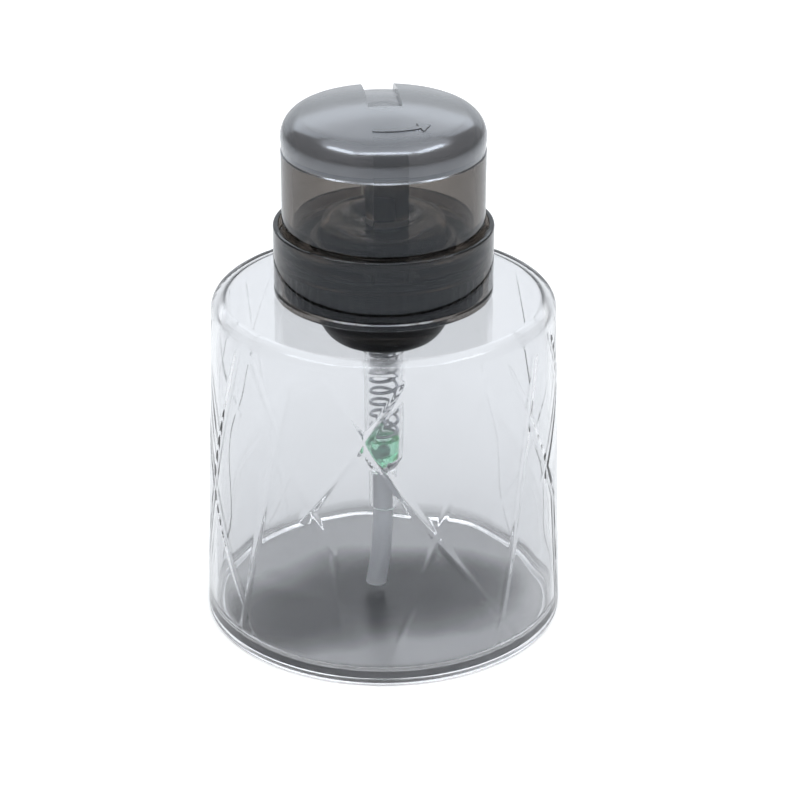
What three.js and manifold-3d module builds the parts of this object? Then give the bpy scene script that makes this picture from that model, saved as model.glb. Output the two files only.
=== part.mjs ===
// Nail polish remover pump: a clear round bottle with a screw-on press pump. A cotton pad is
// pushed down on the dish, and a smoky flip lid with a twist lock closes over it.
// Millimetres, +Z up. The origin is the middle of the foot that the bottle stands on.
// The lid's hinge lies at +Y and its latch tongue at -Y, towards the user.

import * as THREE from "three";
import { mergeVertices } from "three/addons/utils/BufferGeometryUtils.js";
import Module from "manifold-3d";

const wasm = await Module();
wasm.setup();

// Overall
const overallHeight = 112;

// Clearances
const seatGap = 0.15; // between faces that rest on each other
const snapGap = 0.3; // between pieces that are pressed or snapped together
const runningGap = 0.3; // between faces that slide past each other
const boreGap = 0.15; // between a shaft or a ball and its bore
const cutOverrun = 3; // how far every cutter runs past what it cuts

// Bottle
const footRadius = 37.5;
const footEdge = 0.9;
const footRingWidth = 3;
const footPushUp = 0.7;
const shoulderRadius = 35.2;
const shoulderHeight = 70.7;
const shoulderFillet = 2.6;
const bottleWall = 1.6;
const bottleFloor = 2;
const innerCorner = 2;
const neckOuterRadius = 16.4;
const neckWall = 1.8;
const neckHeight = 6.7;
const neckRootFillet = 1.1;
const neckLipChamfer = 0.4;

// Cut lines that cross on the bottle's wall
const cutLineWidth = 1.5;
const cutLineDepth = 0.3;
const cutLineSectors = 4;
const cutLineMargin = 4.4; // from the foot and from the shoulder

// Neck gasket
const gasketThickness = 0.8;
const gasketInset = 0.15;

// Mounting cup
const cupFlangeThickness = 1.2;
const cupFlangeInset = 0.25;
const cupNeckGap = 0.4;
const cupWall = 1.2;
const cupDepth = 18; // from the flange's underside to the cup's lowest face
const cupStraightDepth = 8.4;
const cupFloorRadius = 8.6;
const cupFloorThickness = 1.6;
const cupBossWall = 1.3;
const cupBossHeight = 3.6;

// Pump housing
const barrelOuterRadius = 4;
const barrelWall = 0.65;
const barrelStep = 0.8; // how far the barrel's head stands out past the barrel
const barrelHeadLength = 9;
const barrelLength = 32.4; // from the intake cone to the flange
const housingFlangeWidth = 1.6;
const housingFlangeThickness = 1.1;
const coneHeight = 2.1;
const throatRadius = 1.2;
const throatLength = 0.9;
const socketWall = 0.7;
const socketDepth = 8.2;

// Intake valve, and the balls of both valves
const ballRadius = 1.5;
const intakeBallLift = 0.6;
const outletBallLift = 0.8;
const valveSeatRadius = 1;
const valveSeatHeight = 2.4;
const valveLipWidth = 0.4;
const valveLipThickness = 0.5;

// Dip tube
const tubeRadius = 2.15;
const tubeWall = 0.6;
const tubeFloorGap = 1.9;
const tubeLean = 1.6; // how far its lower end leans to -X

// Return spring
const wireRadius = 0.35;
const springBarrelGap = 0.55;
const springPitch = 2.6;
const springEndPitch = 1.2;

// Piston, stem and stem guide
const pressTravel = 4.5;
const pistonLength = 5.2;
const pistonLipHeight = 1.1;
const pistonWaist = 0.45;
const pistonFloor = 1.6; // under the stem
const stemRadius = 2;
const stemWall = 0.85;
const guidePlugLength = 2.4;
const guideFlangeThickness = 1;
const guideCollarHeight = 1.3;
const guideCollarWall = 1.2;

// Screw closure
const closureNeckGap = 1.1; // room for the thread on the neck
const closureWall = 2.8;
const closureShoulderGap = 1.4;
const closurePlateThickness = 1.1;

// Collar
const collarSpace = 0.9; // between the closure's skirt and the collar
const collarWall = 1.1;
const collarShoulderGap = 0.8;
const collarHeight = 14.7;
const collarRimFillet = 0.5;
const collarBandHeight = 1.7;
const collarGrooveDepth = 0.3;
const collarGrooveWidth = 0.5;
const ledgeWidth = 1.9;
const ledgeThickness = 0.9;
const ledgeGapDegrees = 30;
const frontDegrees = -90; // the direction of the user, from +X
const snapBeadHeight = 0.7;
const snapBeadDepth = 0.5;

// Swivel base
const swivelThickness = 1;
const swivelGuideWall = 1.2;
const swivelGuideHeight = 1.9;

// Lid
const lidCollarGap = 0.7;
const lidLedgeGap = 0.6;
const lidWall = 2.2;
const lidFillet = 5.4;
const lidCrownRadius = 62;
const channelWidth = 6.7;
const channelDepth = 1.2;
const channelReach = 4; // how far past the axis, towards the user, the channel starts

// Lid hinge
const hingeInset = 2.6;
const hingeRimGap = 1.4; // what is left over the collar's rim when the lid lies back
const pinRadius = 1;
const knuckleWall = 1.2;
const knuckleSlotGap = 1;
const postFront = 2.6; // in front of the hinge axis
const postBack = 0.9; // behind the hinge axis, at the post's foot
const lugWidth = 3.1;
const lugWall = 1.3;

// Latch tongue
const tongueWidth = 6.5;
const tongueThickness = 2.1;
const tongueLedgeGap = 0.7;
const hookHold = 0.5; // how far the hook reaches under the ledge
const tongueSlotGap = 0.5;

// Seal boss and seal under the lid's roof
const sealBossRadius = 3.7;
const sealBossWall = 1.7;
const sealLength = 1.3;
const sealStemShare = 0.18; // of the room between the seal and the roof
const sealEdge = 0.3;

// Dish
const dishCupGap = 0.3;
const dishMouthGap = 0.8; // to the swivel base and to the closure's mouth
const dishRimAboveLidEdge = 4;
const dishFillet = 2.5;
const dishWall = 1.2;
const dishHollow = 2;
const dishRimWidth = 0.8;
const dishSkirtLength = 7.6;
const dishSocketWall = 1.25;
const dishStopGap = 1.2; // what is left under the socket at the end of a press
const outletRadius = 0.8;

// Facets: segments in a full turn, and steps along an arc
const bottleSegments = 48;
const headSegments = 48;
const cupSegments = 32;
const pumpSegments = 20;
const smallSegments = 12;
const wireSides = 5;
const wireStepsPerTurn = 8;
const tubeSteps = 8;
const wideArcSteps = 5;
const arcSteps = 3;
const shortArcSteps = 2;
const weldDistance = 1e-4;

// Heights that follow from the sizes above, from the foot up
const neckTop = shoulderHeight + neckHeight;
const gasketBottom = neckTop + seatGap;
const gasketTop = gasketBottom + gasketThickness;
const cupFlangeBottom = gasketTop + seatGap;
const cupFlangeTop = cupFlangeBottom + cupFlangeThickness;
const closurePlateBottom = cupFlangeTop + seatGap;
const closureTop = closurePlateBottom + closurePlateThickness;
const swivelBottom = closureTop + runningGap;
const swivelTop = swivelBottom + swivelThickness;
const ledgeBottom = swivelTop + runningGap;
const ledgeTop = ledgeBottom + ledgeThickness;
const lidBottom = ledgeTop + lidLedgeGap;
const collarBottom = shoulderHeight + collarShoulderGap;
const collarTop = collarBottom + collarHeight;

// Radii of the head, from the neck out
const neckInnerRadius = neckOuterRadius - neckWall;
const cupOuterRadius = neckInnerRadius - cupNeckGap;
const cupInnerRadius = cupOuterRadius - cupWall;
const closureBore = neckOuterRadius + closureNeckGap;
const closureSkirtRadius = closureBore + closureWall;
const collarInnerRadius = closureSkirtRadius + collarSpace;
const collarRadius = collarInnerRadius + collarWall;
const ledgeRadius = collarInnerRadius - ledgeWidth;
const tongueOuterRadius = ledgeRadius - tongueLedgeGap;
const tongueInnerRadius = tongueOuterRadius - tongueThickness;
const hookRadius = ledgeRadius + hookHold;
const lidRadius = collarInnerRadius - lidCollarGap;
const dishRadius = cupInnerRadius - dishCupGap;
const mouthRadius = dishRadius + dishMouthGap;
const dishFlatRadius = sealBossRadius + snapGap;

// The lid's hinge axis
const hingeY = lidRadius - hingeInset;
const hingeZ = collarTop + hingeInset + hingeRimGap;
const pinBore = pinRadius + boreGap;
const knuckleRadius = pinRadius + knuckleWall;
const knuckleHalfWidth = channelWidth / 2 - runningGap;

// Heights and radii inside the pump, from the mounting cup down
const barrelInnerRadius = barrelOuterRadius - barrelWall;
const barrelHeadRadius = barrelOuterRadius + barrelStep;
const pistonRadius = barrelInnerRadius - boreGap;
const housingFlangeRadius = barrelHeadRadius + housingFlangeWidth;
const cupBottom = cupFlangeBottom - cupDepth;
const cupFloorTop = cupBottom + cupFloorThickness;
const cupBossTop = cupFloorTop + cupBossHeight;
const cupBoreRadius = barrelHeadRadius + snapGap;
const housingFlangeBottom = cupBossTop + seatGap;
const housingTop = housingFlangeBottom + housingFlangeThickness;
const coneTop = housingFlangeBottom - barrelLength;
const coneBottom = coneTop - coneHeight;
const socketTop = coneBottom - throatLength;
const socketBottom = socketTop - socketDepth;
const socketBore = tubeRadius + boreGap;
const valveBottom = coneBottom + 2 * seatGap;
const valveSeatTop = valveBottom + valveSeatHeight;
const intakeBallCentre = valveSeatTop + (ballRadius + boreGap) * Math.SQRT2 - valveSeatRadius;
const valveLipBottom = intakeBallCentre + ballRadius + intakeBallLift + boreGap;
const valveTop = valveLipBottom + valveLipThickness;
const guideFlangeBottom = housingTop + seatGap;
const guidePlugBottom = guideFlangeBottom - guidePlugLength;
const guideFlangeTop = guideFlangeBottom + guideFlangeThickness;
const guideTop = guideFlangeTop + guideCollarHeight;
const pistonTop = guidePlugBottom - seatGap;
const pistonBottom = pistonTop - pistonLength;
const stemBottom = pistonBottom + pistonFloor + seatGap;
const stemBore = stemRadius - stemWall;
const stemSocket = stemRadius + boreGap;

// Heights of the dish, its outlet valve and the seal over it
const dishRim = lidBottom + dishRimAboveLidEdge;
const dishFloor = dishRim - dishHollow;
const chamberTop = dishFloor - dishWall;
const outletBallCentre = chamberTop - boreGap - outletBallLift - ballRadius;
const stemTop = outletBallCentre - Math.sqrt(ballRadius ** 2 - stemBore ** 2) - boreGap;
const dishSocketBottom = guideTop + pressTravel + dishStopGap;
const sealBottom = dishFloor + snapGap;
const sealTop = sealBottom + sealLength;
const sealStemTop = sealTop + sealStemShare * (overallHeight - lidWall - sealTop);
const sealBossBore = sealBossRadius - sealBossWall;

// Points on an arc, as [radius, height] pairs. Angles are in degrees from the radial direction.
function arc(centreR, centreZ, radius, from, to, steps) {
  return Array.from({ length: steps + 1 }, (_, i) => {
    const angle = THREE.MathUtils.degToRad(from + ((to - from) * i) / steps);
    return [centreR + radius * Math.cos(angle), centreZ + radius * Math.sin(angle)];
  });
}

// Twice the signed area of a profile, above zero where it runs anticlockwise.
function turning(profile) {
  return profile.reduce((sum, [r, z], i) => {
    const [nextR, nextZ] = profile[(i + 1) % profile.length];
    return sum + r * nextZ - nextR * z;
  }, 0);
}

// A solid turned about Z from a closed profile of [radius, height] pairs.
function revolve(profile, segments) {
  const ordered = turning(profile) > 0 ? profile : [...profile].reverse();
  const onAxis = ordered.findIndex(([r], i) => {
    return r === 0 && ordered[(i + ordered.length - 1) % ordered.length][0] === 0;
  });
  const loop = onAxis < 0
    ? [...ordered, ordered[0]]
    : [...ordered.slice(onAxis), ...ordered.slice(0, onAxis)];
  const points = loop.map(([r, z]) => new THREE.Vector2(r, z));
  return solid(new THREE.LatheGeometry(points, segments).rotateX(Math.PI / 2));
}

// A closed mesh as a manifold-3d solid: shared corners merged, empty faces left out.
function solid(geometry) {
  const bare = geometry.clone();
  bare.deleteAttribute("normal");
  bare.deleteAttribute("uv");
  const merged = mergeVertices(bare, weldDistance);
  const index = merged.index.array;
  const kept = [];
  for (let i = 0; i < index.length; i += 3) {
    const [a, b, c] = [index[i], index[i + 1], index[i + 2]];
    if (a !== b && b !== c && c !== a) kept.push(a, b, c);
  }
  return new wasm.Manifold(new wasm.Mesh({
    numProp: 3,
    vertProperties: merged.attributes.position.array,
    triVerts: new Uint32Array(kept),
  }));
}

// A manifold-3d solid as three.js geometry, with a flat normal on each facet.
function toGeometry(made) {
  const { vertProperties, triVerts, numProp } = made.getMesh();
  const corners = new Float32Array(triVerts.length * 3);
  triVerts.forEach((vertex, i) => {
    corners.set(vertProperties.subarray(vertex * numProp, vertex * numProp + 3), i * 3);
  });
  const geometry = new THREE.BufferGeometry();
  geometry.setAttribute("position", new THREE.BufferAttribute(corners, 3));
  geometry.computeVertexNormals();
  return geometry;
}

// A box between two corners.
function block([x0, y0, z0], [x1, y1, z1]) {
  const box = new THREE.BoxGeometry(x1 - x0, y1 - y0, z1 - z0);
  return solid(box.translate((x0 + x1) / 2, (y0 + y1) / 2, (z0 + z1) / 2));
}

// A prism across the object: an outline in Y and Z, drawn out to both sides of the middle.
function prismAcross(outline, halfWidth) {
  const shape = new THREE.Shape(outline.map(([y, z]) => new THREE.Vector2(y, z)));
  const drawn = new THREE.ExtrudeGeometry(shape, { depth: 2 * halfWidth, bevelEnabled: false });
  const across = new THREE.Matrix4().makeBasis(
    new THREE.Vector3(0, 1, 0), new THREE.Vector3(0, 0, 1), new THREE.Vector3(1, 0, 0),
  );
  return solid(drawn.translate(0, 0, -halfWidth).applyMatrix4(across));
}

// A round bar across the object on the hinge axis.
function hingeBar(radius, halfLength) {
  const bar = new THREE.CylinderGeometry(radius, radius, 2 * halfLength, smallSegments);
  return solid(bar.rotateZ(Math.PI / 2).translate(0, hingeY, hingeZ));
}

// The bottle's outer radius at a height on its tapered wall.
function wallRadius(z) {
  const share = (z - footEdge) / (shoulderHeight - shoulderFillet - footEdge);
  return footRadius + (shoulderRadius - footRadius) * share;
}

// A cut line's path on the tapered wall, between two ends given as degrees round and height.
class WallRun extends THREE.Curve {
  constructor([degreesFrom, zFrom], [degreesTo, zTo]) {
    super();
    Object.assign(this, { degreesFrom, zFrom, degreesTo, zTo });
  }

  getPoint(t) {
    const z = THREE.MathUtils.lerp(this.zFrom, this.zTo, t);
    const degrees = THREE.MathUtils.lerp(this.degreesFrom, this.degreesTo, t);
    const angle = THREE.MathUtils.degToRad(degrees);
    const radius = wallRadius(z);
    return new THREE.Vector3(radius * Math.sin(angle), -radius * Math.cos(angle), z);
  }

  // Even steps in t, which fall on the edges between facets
  getPointAt(u) {
    return this.getPoint(u);
  }

  getTangentAt(u) {
    return this.getTangent(u);
  }
}

// The crossing cut lines of one sector. Each row holds a line's two ends: the turn from the
// front as a share of the sector, and the height as a share of the band between the margins.
const cutLineShares = [
  [[-0.25, 1], [0.47, 0]],
  [[0.33, 1], [0, 0]],
  [[0.6, 1], [0.4, 0]],
  [[0.43, 1], [0.77, 0.4]],
  [[0.77, 0.4], [0.82, 0]],
  [[0, 1], [-0.34, 0.51]],
];

// A cutter for one line: a diamond drawn along the wall, its inner half in the material. It
// takes one step to each facet of the wall, so that it lies in the facets.
function cutLine(sector, [turnFrom, from], [turnTo, to]) {
  const facet = 360 / bottleSegments;
  const perSector = bottleSegments / cutLineSectors;
  const firstFacet = Math.round((sector + turnFrom) * perSector);
  const lastFacet = Math.round((sector + turnTo) * perSector);
  const low = cutLineMargin;
  const high = shoulderHeight - cutLineMargin;
  const half = cutLineWidth / 2;
  const diamond = new THREE.Shape([
    new THREE.Vector2(cutLineDepth, 0),
    new THREE.Vector2(0, half),
    new THREE.Vector2(-cutLineDepth, 0),
    new THREE.Vector2(0, -half),
  ]);
  const run = new WallRun(
    [firstFacet * facet, low + (high - low) * from],
    [lastFacet * facet, low + (high - low) * to],
  );
  const steps = Math.max(1, Math.abs(lastFacet - firstFacet));
  return solid(new THREE.ExtrudeGeometry(diamond, { steps, extrudePath: run }));
}

function bottleBody() {
  const innerRadius = (z) => wallRadius(z) - bottleWall;
  const innerTop = shoulderHeight - bottleWall;
  const innerFillet = shoulderFillet - bottleWall;
  const profile = [
    [0, footPushUp],
    [footRadius - footRingWidth, footPushUp],
    [footRadius - footRingWidth + footPushUp, 0],
    ...arc(footRadius - footEdge, footEdge, footEdge, -90, 0, arcSteps),
    ...arc(
      shoulderRadius - shoulderFillet, shoulderHeight - shoulderFillet,
      shoulderFillet, 0, 90, wideArcSteps,
    ),
    ...arc(
      neckOuterRadius + neckRootFillet, shoulderHeight + neckRootFillet,
      neckRootFillet, 270, 180, shortArcSteps,
    ),
    [neckOuterRadius, neckTop - neckLipChamfer],
    [neckOuterRadius - neckLipChamfer, neckTop],
    [neckInnerRadius, neckTop],
    ...arc(neckInnerRadius + bottleWall, shoulderHeight, bottleWall, 180, 270, shortArcSteps),
    ...arc(
      innerRadius(innerTop) - innerFillet, innerTop - innerFillet,
      innerFillet, 90, 0, shortArcSteps,
    ),
    ...arc(
      innerRadius(bottleFloor) - innerCorner, bottleFloor + innerCorner,
      innerCorner, 0, -90, arcSteps,
    ),
    [0, bottleFloor],
  ];
  let body = revolve(profile, bottleSegments);
  for (let sector = 0; sector < cutLineSectors; sector += 1) {
    for (const [from, to] of cutLineShares) body = body.subtract(cutLine(sector, from, to));
  }
  return body;
}

function neckGasket() {
  return revolve([
    [neckInnerRadius + gasketInset, gasketBottom],
    [neckOuterRadius - gasketInset, gasketBottom],
    [neckOuterRadius - gasketInset, gasketTop],
    [neckInnerRadius + gasketInset, gasketTop],
  ], cupSegments);
}

// The bowl under the cup's straight wall: a quarter ellipse down to the floor.
function bowl(radius, floorRadius, floorZ) {
  const straightBottom = cupFlangeBottom - cupStraightDepth;
  return arc(0, 0, 1, 0, 90, wideArcSteps).map(([across, down]) => [
    floorRadius + (radius - floorRadius) * across,
    straightBottom - (straightBottom - floorZ) * down,
  ]);
}

function mountingCup() {
  const bossRadius = cupBoreRadius + cupBossWall;
  return revolve([
    [neckOuterRadius - cupFlangeInset, cupFlangeBottom],
    [neckOuterRadius - cupFlangeInset, cupFlangeTop],
    [cupInnerRadius, cupFlangeTop],
    ...bowl(cupInnerRadius, cupFloorRadius - cupWall, cupFloorTop),
    [bossRadius, cupFloorTop],
    [bossRadius, cupBossTop],
    [cupBoreRadius, cupBossTop],
    [cupBoreRadius, cupBottom],
    ...bowl(cupOuterRadius, cupFloorRadius, cupBottom).reverse(),
    [cupOuterRadius, cupFlangeBottom],
  ], cupSegments);
}

function pumpHousing() {
  const headBottom = housingFlangeBottom - barrelHeadLength;
  const socketRadius = socketBore + socketWall;
  return revolve([
    [socketBore, socketBottom],
    [socketRadius, socketBottom],
    [socketRadius, coneBottom],
    [barrelOuterRadius, coneTop],
    [barrelOuterRadius, headBottom],
    [barrelHeadRadius, headBottom + barrelStep],
    [barrelHeadRadius, housingFlangeBottom],
    [housingFlangeRadius, housingFlangeBottom],
    [housingFlangeRadius, housingTop],
    [barrelInnerRadius, housingTop],
    [barrelInnerRadius, coneTop],
    [throatRadius, coneBottom],
    [throatRadius, socketTop],
    [socketBore, socketTop],
  ], pumpSegments);
}

function intakeValve() {
  const chamber = ballRadius + boreGap;
  const lip = ballRadius - valveLipWidth;
  return revolve([
    [valveSeatRadius, valveBottom],
    [throatRadius + boreGap, valveBottom],
    [pistonRadius, coneTop + 2 * seatGap],
    [pistonRadius, valveTop],
    [lip, valveTop],
    [lip, valveLipBottom],
    [chamber, valveLipBottom],
    [chamber, valveSeatTop + chamber - valveSeatRadius],
    [valveSeatRadius, valveSeatTop],
  ], pumpSegments);
}

function ball(z) {
  return solid(new THREE.SphereGeometry(ballRadius, smallSegments, smallSegments / 2))
    .translate([0, 0, z]);
}

// The tube's own line: straight in its socket, then leaning to the side in a slow bend.
class LeaningLine extends THREE.Curve {
  constructor(top, straightEnd, bottom, lean) {
    super();
    Object.assign(this, { top, straightEnd, bottom, lean });
  }

  getPoint(t) {
    const z = THREE.MathUtils.lerp(this.top, this.bottom, t);
    const bent = Math.max(0, (this.straightEnd - z) / (this.straightEnd - this.bottom));
    return new THREE.Vector3((-this.lean * (bent + bent ** 2)) / 2, 0, z);
  }
}

function dipTube() {
  const ring = new THREE.Shape();
  ring.absarc(0, 0, tubeRadius, 0, 2 * Math.PI, false);
  const bore = new THREE.Path();
  bore.absarc(0, 0, tubeRadius - tubeWall, 0, 2 * Math.PI, true);
  ring.holes.push(bore);
  const line = new LeaningLine(
    socketTop - seatGap, socketBottom, bottleFloor + tubeFloorGap, tubeLean,
  );
  return solid(new THREE.ExtrudeGeometry(ring, {
    steps: tubeSteps,
    curveSegments: smallSegments / 2,
    extrudePath: line,
  }));
}

// The spring's centre line: a closed-up turn at each end, open turns between them.
const springRadius = barrelInnerRadius - springBarrelGap - wireRadius;
const springBottom = valveTop + seatGap + wireRadius;
const springTop = pistonBottom - seatGap - wireRadius;
const springTurns = 2 + (springTop - springBottom - 2 * springEndPitch) / springPitch;

function springHeight(turn) {
  if (turn < 1) return springBottom + springEndPitch * turn;
  if (turn > springTurns - 1) return springTop - springEndPitch * (springTurns - turn);
  return springBottom + springEndPitch + springPitch * (turn - 1);
}

// The spring as one unbroken tube along its centre line.
function returnSpring() {
  const sides = wireSides;
  const steps = Math.round(springTurns * wireStepsPerTurn);
  const positions = [];
  const centres = [];
  for (let i = 0; i <= steps; i += 1) {
    const turn = (springTurns * i) / steps;
    const angle = 2 * Math.PI * turn;
    const outward = new THREE.Vector3(Math.cos(angle), Math.sin(angle), 0);
    const centre = outward.clone().multiplyScalar(springRadius).setZ(springHeight(turn));
    centres.push(centre);
    for (let j = 0; j < sides; j += 1) {
      const around = (2 * Math.PI * j) / sides;
      const corner = centre.clone()
        .addScaledVector(outward, wireRadius * Math.cos(around))
        .add(new THREE.Vector3(0, 0, wireRadius * Math.sin(around)));
      positions.push(...corner.toArray());
    }
  }
  const index = [];
  for (let i = 0; i < steps; i += 1) {
    for (let j = 0; j < sides; j += 1) {
      const a = i * sides + j;
      const b = i * sides + ((j + 1) % sides);
      index.push(a, a + sides, b, b, a + sides, b + sides);
    }
  }
  for (let j = 1; j < sides - 1; j += 1) {
    const last = steps * sides;
    index.push(0, j, j + 1, last, last + j + 1, last + j);
  }
  const geometry = new THREE.BufferGeometry();
  geometry.setAttribute("position", new THREE.Float32BufferAttribute(positions, 3));
  geometry.setIndex(index);
  console.log("return spring: least gap to itself " + leastGap(centres).toFixed(2) + " mm");
  return solid(geometry);
}

// The least gap between turns of the wire, measured between points over half a turn apart.
function leastGap(centres) {
  let least = Infinity;
  centres.forEach((centre, i) => {
    for (let k = i + wireStepsPerTurn / 2 + 1; k < centres.length; k += 1) {
      least = Math.min(least, centre.distanceTo(centres[k]));
    }
  });
  return least - 2 * wireRadius;
}

function piston() {
  const waist = pistonRadius - pistonWaist;
  return revolve([
    [stemBore, pistonBottom],
    [pistonRadius, pistonBottom],
    [pistonRadius, pistonBottom + pistonLipHeight],
    [waist, pistonBottom + pistonLipHeight + pistonWaist],
    [waist, pistonTop - pistonLipHeight - pistonWaist],
    [pistonRadius, pistonTop - pistonLipHeight],
    [pistonRadius, pistonTop],
    [stemSocket, pistonTop],
    [stemSocket, pistonBottom + pistonFloor],
    [stemBore, pistonBottom + pistonFloor],
  ], pumpSegments);
}

function stem() {
  return revolve([
    [stemBore, stemBottom],
    [stemRadius, stemBottom],
    [stemRadius, stemTop],
    [stemBore, stemTop],
  ], pumpSegments);
}

function stemGuide() {
  return revolve([
    [stemSocket, guidePlugBottom],
    [pistonRadius, guidePlugBottom],
    [pistonRadius, guideFlangeBottom],
    [housingFlangeRadius, guideFlangeBottom],
    [housingFlangeRadius, guideFlangeTop],
    [stemSocket + guideCollarWall, guideFlangeTop],
    [stemSocket + guideCollarWall, guideTop],
    [stemSocket, guideTop],
  ], pumpSegments);
}

function dish() {
  const rimInner = dishRadius - dishFillet - dishRimWidth;
  const socketRadius = stemSocket + dishSocketWall;
  const skirtBottom = dishRim - dishSkirtLength;
  const filletR = dishRadius - dishFillet;
  const filletZ = dishRim - dishFillet;
  const hollow = Array.from({ length: wideArcSteps + 1 }, (_, i) => {
    // The hollow under the pad rises from its flat middle to the rim as a cosine
    const share = i / wideArcSteps;
    const rise = (1 - Math.cos(Math.PI * share)) / 2;
    return [dishFlatRadius + (rimInner - dishFlatRadius) * share, dishFloor + dishHollow * rise];
  });
  return revolve([
    [outletRadius, dishFloor],
    ...hollow,
    ...arc(filletR, filletZ, dishFillet, 90, 0, arcSteps),
    [dishRadius, skirtBottom],
    [dishRadius - dishWall, skirtBottom],
    ...arc(filletR, filletZ, dishFillet - dishWall, 0, 90, shortArcSteps),
    [rimInner, dishRim - dishWall],
    [dishFlatRadius + dishWall, chamberTop],
    [socketRadius, chamberTop],
    [socketRadius, dishSocketBottom],
    [stemSocket, dishSocketBottom],
    [stemSocket, chamberTop],
    [outletRadius, chamberTop],
  ], headSegments);
}

function screwClosure() {
  const bottom = shoulderHeight + closureShoulderGap;
  const flangeRadius = collarInnerRadius - snapGap;
  return revolve([
    [closureBore, bottom],
    [closureSkirtRadius, bottom],
    [closureSkirtRadius, closurePlateBottom],
    [flangeRadius, closurePlateBottom],
    [flangeRadius, closureTop],
    [mouthRadius, closureTop],
    [mouthRadius, closurePlateBottom],
    [closureBore, closurePlateBottom],
  ], cupSegments);
}

// The gap in the collar's ledge that lets the latch tongue out.
function ledgeGap() {
  const half = ledgeGapDegrees / 2;
  const reach = collarInnerRadius - seatGap;
  const edge = arc(0, 0, reach, frontDegrees - half, frontDegrees + half, arcSteps);
  const sector = new THREE.Shape([[0, 0], ...edge].map(([x, y]) => new THREE.Vector2(x, y)));
  const cutter = new THREE.ExtrudeGeometry(sector, {
    depth: ledgeThickness + 2 * seatGap,
    bevelEnabled: false,
  });
  return solid(cutter.translate(0, 0, ledgeBottom - seatGap));
}

function collar() {
  const inner = collarInnerRadius;
  const beadTop = closurePlateBottom - seatGap;
  const groove = collarBottom + collarBandHeight;
  const fillet = collarRimFillet;
  const wall = revolve([
    [inner, collarBottom],
    [collarRadius - fillet, collarBottom],
    [collarRadius, collarBottom + fillet],
    [collarRadius, groove - collarGrooveWidth],
    [collarRadius - collarGrooveDepth, groove],
    [collarRadius, groove + collarGrooveWidth],
    ...arc(collarRadius - fillet, collarTop - fillet, fillet, 0, 90, shortArcSteps),
    [inner, collarTop],
    [inner, ledgeTop],
    [ledgeRadius, ledgeTop],
    [ledgeRadius, ledgeBottom],
    [inner, ledgeBottom],
    [inner, beadTop],
    [inner - snapBeadDepth, beadTop - snapBeadHeight / 2],
    [inner, beadTop - snapBeadHeight],
  ], headSegments);
  return wall.subtract(ledgeGap());
}

function swivelBase() {
  const outer = collarInnerRadius - snapGap;
  const ring = revolve([
    [mouthRadius, swivelBottom],
    [outer, swivelBottom],
    [outer, swivelTop],
    [mouthRadius + swivelGuideWall, swivelTop],
    [mouthRadius + swivelGuideWall, swivelTop + swivelGuideHeight],
    [mouthRadius, swivelTop + swivelGuideHeight],
  ], headSegments);
  const middle = swivelBottom + swivelThickness / 2;
  const post = prismAcross([
    [hingeY - postFront, middle],
    [hingeY + postBack, middle],
    [hingeY + postBack, hingeZ - knuckleRadius - runningGap],
    ...arc(hingeY, hingeZ, knuckleRadius, -45, 180, 3 * arcSteps),
    [hingeY - postFront, hingeZ - knuckleRadius],
  ], knuckleHalfWidth);
  const slotHalf = tongueWidth / 2 + tongueSlotGap;
  const slot = block(
    [-slotHalf, -outer - cutOverrun, swivelBottom - cutOverrun],
    [slotHalf, -tongueInnerRadius + tongueSlotGap, swivelTop + cutOverrun],
  );
  return ring.add(post).subtract(hingeBar(pinBore, channelWidth)).subtract(slot);
}

function hingePin() {
  return hingeBar(pinRadius, channelWidth / 2 + lugWidth - snapGap);
}

// The lid's outer form as a full solid, drawn in by a depth: a crown arc, and a fillet that
// touches the crown and the wall without a corner.
function lidForm(inset, bottom, filletSteps = wideArcSteps) {
  const radius = lidRadius - inset;
  const fillet = lidFillet - inset;
  const crown = lidCrownRadius - inset;
  const lean = Math.asin((radius - fillet) / (crown - fillet));
  const crownCentre = overallHeight - lidCrownRadius;
  const filletZ = crownCentre + (crown - fillet) * Math.cos(lean);
  const meet = 90 - THREE.MathUtils.radToDeg(lean);
  return revolve([
    [0, bottom],
    [radius, bottom],
    ...arc(radius - fillet, filletZ, fillet, 0, meet, filletSteps),
    ...arc(0, crownCentre, crown, meet, 90, arcSteps).slice(1, -1),
    [0, overallHeight - inset],
  ], headSegments);
}

// The latch tongue inside the lid's front wall, with the hook at its foot.
function latchTongue() {
  const top = overallHeight - lidFillet;
  return prismAcross([
    [-tongueInnerRadius, top],
    [-tongueInnerRadius, swivelBottom],
    [-hookRadius, swivelBottom],
    [-hookRadius, swivelTop - seatGap],
    [-tongueOuterRadius, swivelTop + seatGap],
    [-tongueOuterRadius, top],
  ], tongueWidth / 2);
}

// The tube under the roof that holds the seal over the dish, its top end in the roof.
function sealBoss() {
  const boreTop = overallHeight - lidWall;
  const top = overallHeight - lidWall / 2;
  return revolve([
    [sealBossBore, sealTop + seatGap],
    [sealBossRadius, sealTop + seatGap],
    [sealBossRadius, top],
    [0, top],
    [0, boreTop],
    [sealBossBore, boreTop],
  ], pumpSegments);
}

// The two lugs that carry the pin, one on each side of the slot.
function hingeLugs(whole) {
  const reach = pinRadius + lugWall;
  const outline = [
    ...arc(hingeY, hingeZ, reach, 90, 270, 2 * arcSteps),
    [lidRadius, hingeZ - reach],
    [lidRadius, hingeZ + reach],
  ];
  const half = channelWidth / 2;
  const between = block(
    [-half, 0, hingeZ - reach - cutOverrun],
    [half, lidRadius + cutOverrun, hingeZ + reach + cutOverrun],
  );
  return prismAcross(outline, half + lugWidth).subtract(between).intersect(whole);
}

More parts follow.
